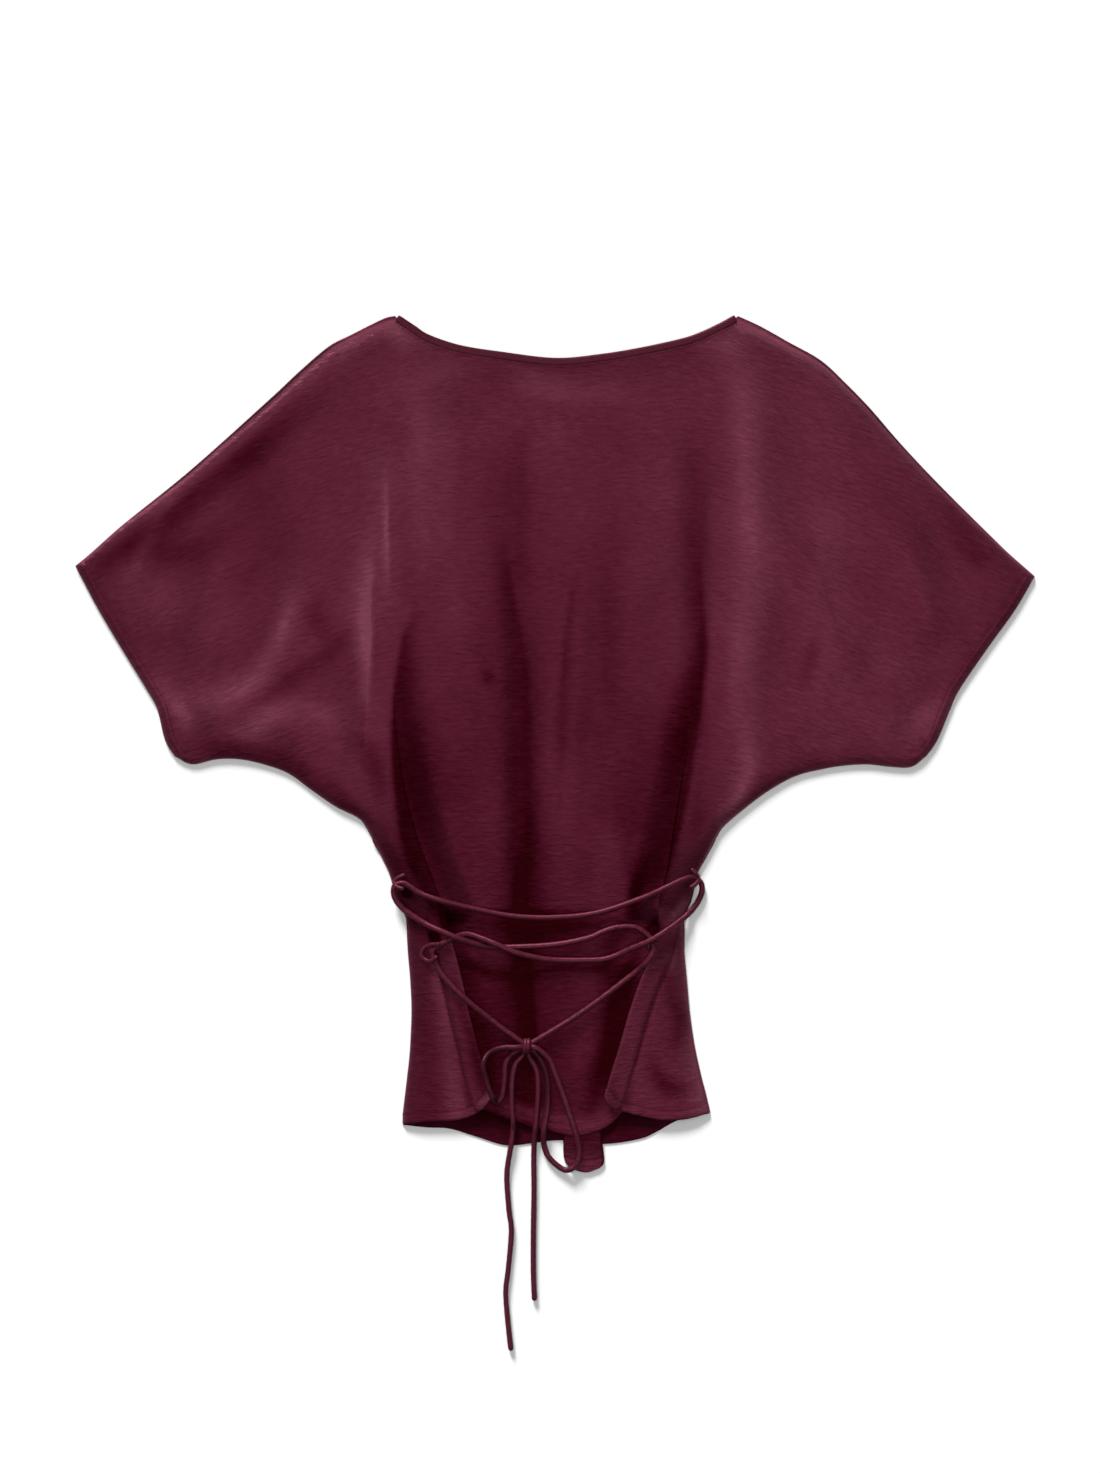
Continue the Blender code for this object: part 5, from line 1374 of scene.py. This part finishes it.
def make_front_fold():
    """Spare width of the front, folded at the middle of its hem: two plies, joined at the left."""
    v = np.linspace(0, 1, FOLD_ROWS)[:, None].repeat(FOLD_COLUMNS, axis=1)
    u = (np.linspace(0, 1, FOLD_COLUMNS)[None] ** FOLD_CROWD).repeat(FOLD_ROWS, axis=0)
    left, bottom, right = curved(FRONT_TAB[:3]), curved(FRONT_TAB[2:5]), curved(FRONT_TAB[:3:-1])
    top = np.array((FRONT_TAB[0], FRONT_TAB[-1]), float)
    plan = patch(along(left, v), along(right, v), along(top, u), along(bottom, u), u, v)
    x, y = plan[..., 0], plan[..., 1]
    into = np.clip(np.abs(x - x[:, :1]) / FOLD_ROLL, 0, 1)
    apart = FOLD_ROLL * np.sqrt(1 - (1 - into) ** 2)
    rest = FOLD_REST + (FOLD_LOW - FOLD_REST) * smooth_step((y - FOLD_EDGE_Y) / FOLD_EDGE_RUN)
    ripple = sum(height * np.exp(-((x - at) / half) ** 2) for at, half, height in FOLD_RIPPLES)
    hem = FOLD_HEM_PLY * (smooth_step((v - FOLD_HEM) / FOLD_HEM_STEP)
                          - np.exp(-((v - FOLD_HEM) / FOLD_HEM_GROOVE) ** 2))
    lower = rest + FOLD_ROLL - apart
    upper = rest + FOLD_ROLL + apart
    upper += (ripple * smooth_step((y - FOLD_END_Y) / FOLD_RIPPLE_RUN) + hem) * into
    points = np.vstack([np.stack([x, y, upper], -1)[:, ::-1].reshape(-1, 3),
                        np.stack([x + FOLD_SHIFT * v, y, lower], -1)[:, 1:].reshape(-1, 3)])
    below = FOLD_ROWS * FOLD_COLUMNS + np.arange(FOLD_ROWS * (FOLD_COLUMNS - 1))
    numbers = np.hstack([np.arange(FOLD_ROWS * FOLD_COLUMNS).reshape(FOLD_ROWS, FOLD_COLUMNS),
                         below.reshape(FOLD_ROWS, -1)])
    quads = np.stack([numbers[:-1, :-1], numbers[:-1, 1:], numbers[1:, 1:], numbers[1:, :-1]], -1)
    piece = solid("front_fold", points, quads.reshape(-1, 4).tolist())
    weave_map(piece)
    # Painted shade under the front's hem, lighter towards the fold's end
    lighter = smooth_step((FOLD_TONE_Y - points[:, 1]) / FOLD_TONE_RUN)
    paint(piece, FOLD_TONES[0] + FOLD_TONES[1] * lighter)
    wall = piece.modifiers.new("wall", "SOLIDIFY")
    wall.thickness = FOLD_WALL * MM
    wall.offset = 0.0
    return dressed(piece, "satin", SATIN, "front_pleat")


def offset_line(points, distance, spacing):
    """Points at an even spacing along a line moved to its right, with their directions."""
    line = curved(points)
    steps = np.gradient(line, axis=0)
    steps /= np.linalg.norm(steps, axis=1)[:, None]
    moved = line + np.stack([steps[:, 1], -steps[:, 0]], -1) * distance
    count = int(np.hypot(*np.diff(moved, axis=0).T).sum() / spacing)
    shares = (np.arange(count) + 0.5) / count
    ahead = along(moved, np.minimum(shares + 0.002, 1)) - along(moved, np.maximum(shares - 0.002, 0))
    return along(moved, shares), ahead / np.linalg.norm(ahead, axis=1)[:, None]


def make_stitches(name, lines, ground):
    """Lockstitch seams: one small capsule of thread for each stitch that shows."""
    turns = np.arange(THREAD_SIDES) * 2 * pi / THREAD_SIDES
    points, faces = [], []
    for line, offset in lines:
        for (x, y), (dx, dy) in zip(*offset_line(line, offset, STITCH_PITCH)):
            ends = [np.array((x + dx * s, y + dy * s, ground.at(x + dx * s, y + dy * s)))
                    for s in (-STITCH_LONG / 2, STITCH_LONG / 2)]
            way = (ends[1] - ends[0]) / np.linalg.norm(ends[1] - ends[0])
            side = np.array((dy, -dx, 0.0))
            up = np.cross(side, way)
            start = len(points)
            for share, size in STITCH_RINGS:
                rise = THREAD * STITCH_RISE if size == 1.0 else 0.0
                centre = ends[0] + (ends[1] - ends[0]) * share + up * rise
                points += [centre + (side * cos(a) + up * sin(a)) * THREAD / 2 * size
                           for a in turns]
            last = start + (len(STITCH_RINGS) - 1) * THREAD_SIDES
            for ring in range(start, last, THREAD_SIDES):
                for n in range(THREAD_SIDES):
                    a, b = ring + n, ring + (n + 1) % THREAD_SIDES
                    faces.append((a, a + THREAD_SIDES, b + THREAD_SIDES, b))
            faces.append(tuple(range(start, start + THREAD_SIDES)))
            faces.append(tuple(range(last + THREAD_SIDES - 1, last - 1, -1)))
    piece = solid(name, points, faces)
    weave_map(piece)
    paint(piece)
    return dressed(piece, "binding", THREAD_POLYESTER)


def studio():
    """Pale floor, a soft key light from the neck side, a wide overhead softbox and a dome."""
    corners = [(-FLOOR_HALF, -FLOOR_HALF, 0), (FLOOR_HALF, -FLOOR_HALF, 0),
               (FLOOR_HALF, FLOOR_HALF, 0), (-FLOOR_HALF, FLOOR_HALF, 0)]
    floor = solid("floor", corners, [(0, 1, 2, 3)])
    floor.location.z = -FLOOR_DROP * MM
    floor.data.materials.append(floor_paper())
    above = bpy.data.lights.new("overhead softbox", "AREA")
    above.size = OVERHEAD_SIZE
    above.energy = OVERHEAD_POWER
    softbox = bpy.data.objects.new("overhead softbox", above)
    softbox.location = (0.0, 0.0, OVERHEAD_HEIGHT)
    key = bpy.data.lights.new("key", "SUN")
    key.energy = KEY_STRENGTH
    key.angle = radians(KEY_SOFT)
    far = bpy.data.objects.new("key", key)
    far.rotation_euler = (radians(KEY_HEIGHT - 90), 0.0, radians(KEY_ROUND))
    for light in (softbox, far):
        bpy.context.scene.collection.objects.link(light)
    world = bpy.data.worlds.new("dome")
    world.use_nodes = True
    background = world.node_tree.nodes["Background"]
    background.inputs["Color"].default_value = linear("#FFFFFF")
    background.inputs["Strength"].default_value = DOME
    bpy.context.scene.world = world
    bpy.context.scene.view_settings.view_transform = "Standard"


place_camera()
studio()
SATIN = woven("crepe_back_satin", *SATIN_SIDE)
INSIDE = woven("crepe_side_of_the_satin", *CREPE_SIDE)
CORD_SATIN = twisted("bias_cut_rouleau", *ROULEAU)
BINDING_SATIN = twisted("folded_satin_strip", *STRIP)
THREAD_POLYESTER = twisted("spun_polyester_thread", *THREAD_LOOK)
back = make_back()
front = make_front()
fold = make_front_fold()
dressed(back, "satin", SATIN, "back_panel")
dressed(front, "satin_inside", INSIDE, "front_panel")
bpy.context.view_layer.update()
cloth = Ground(back, front, fold)
make_cords(cloth)
make_knot(cloth)
make_loops(cloth)
binding = make_binding()
bpy.context.view_layer.update()
# Lines of stitches. Columns: line, how far they are to its right, going down the table.
back_stitches = make_stitches("back_stitches", [
    (LEFT_CUFF, -HEM_STITCH), (RIGHT_CUFF, HEM_STITCH), (LEFT_FLAP_HEM, -HEM_STITCH),
    (CENTRE_HEM[1:-1], -HEM_STITCH), (RIGHT_FLAP_HEM, -HEM_STITCH),
    (FLAP_EDGES[-1][4:-2], FACING_WIDTH), (FLAP_EDGES[1][4:-2], -FACING_WIDTH),
    (NECKLINE, BINDING_WIDTH + NECK_STITCH)], Ground(back))
fold_stitches = make_stitches("fold_stitches", [(FOLD_STITCHES, 0.0)], Ground(fold))
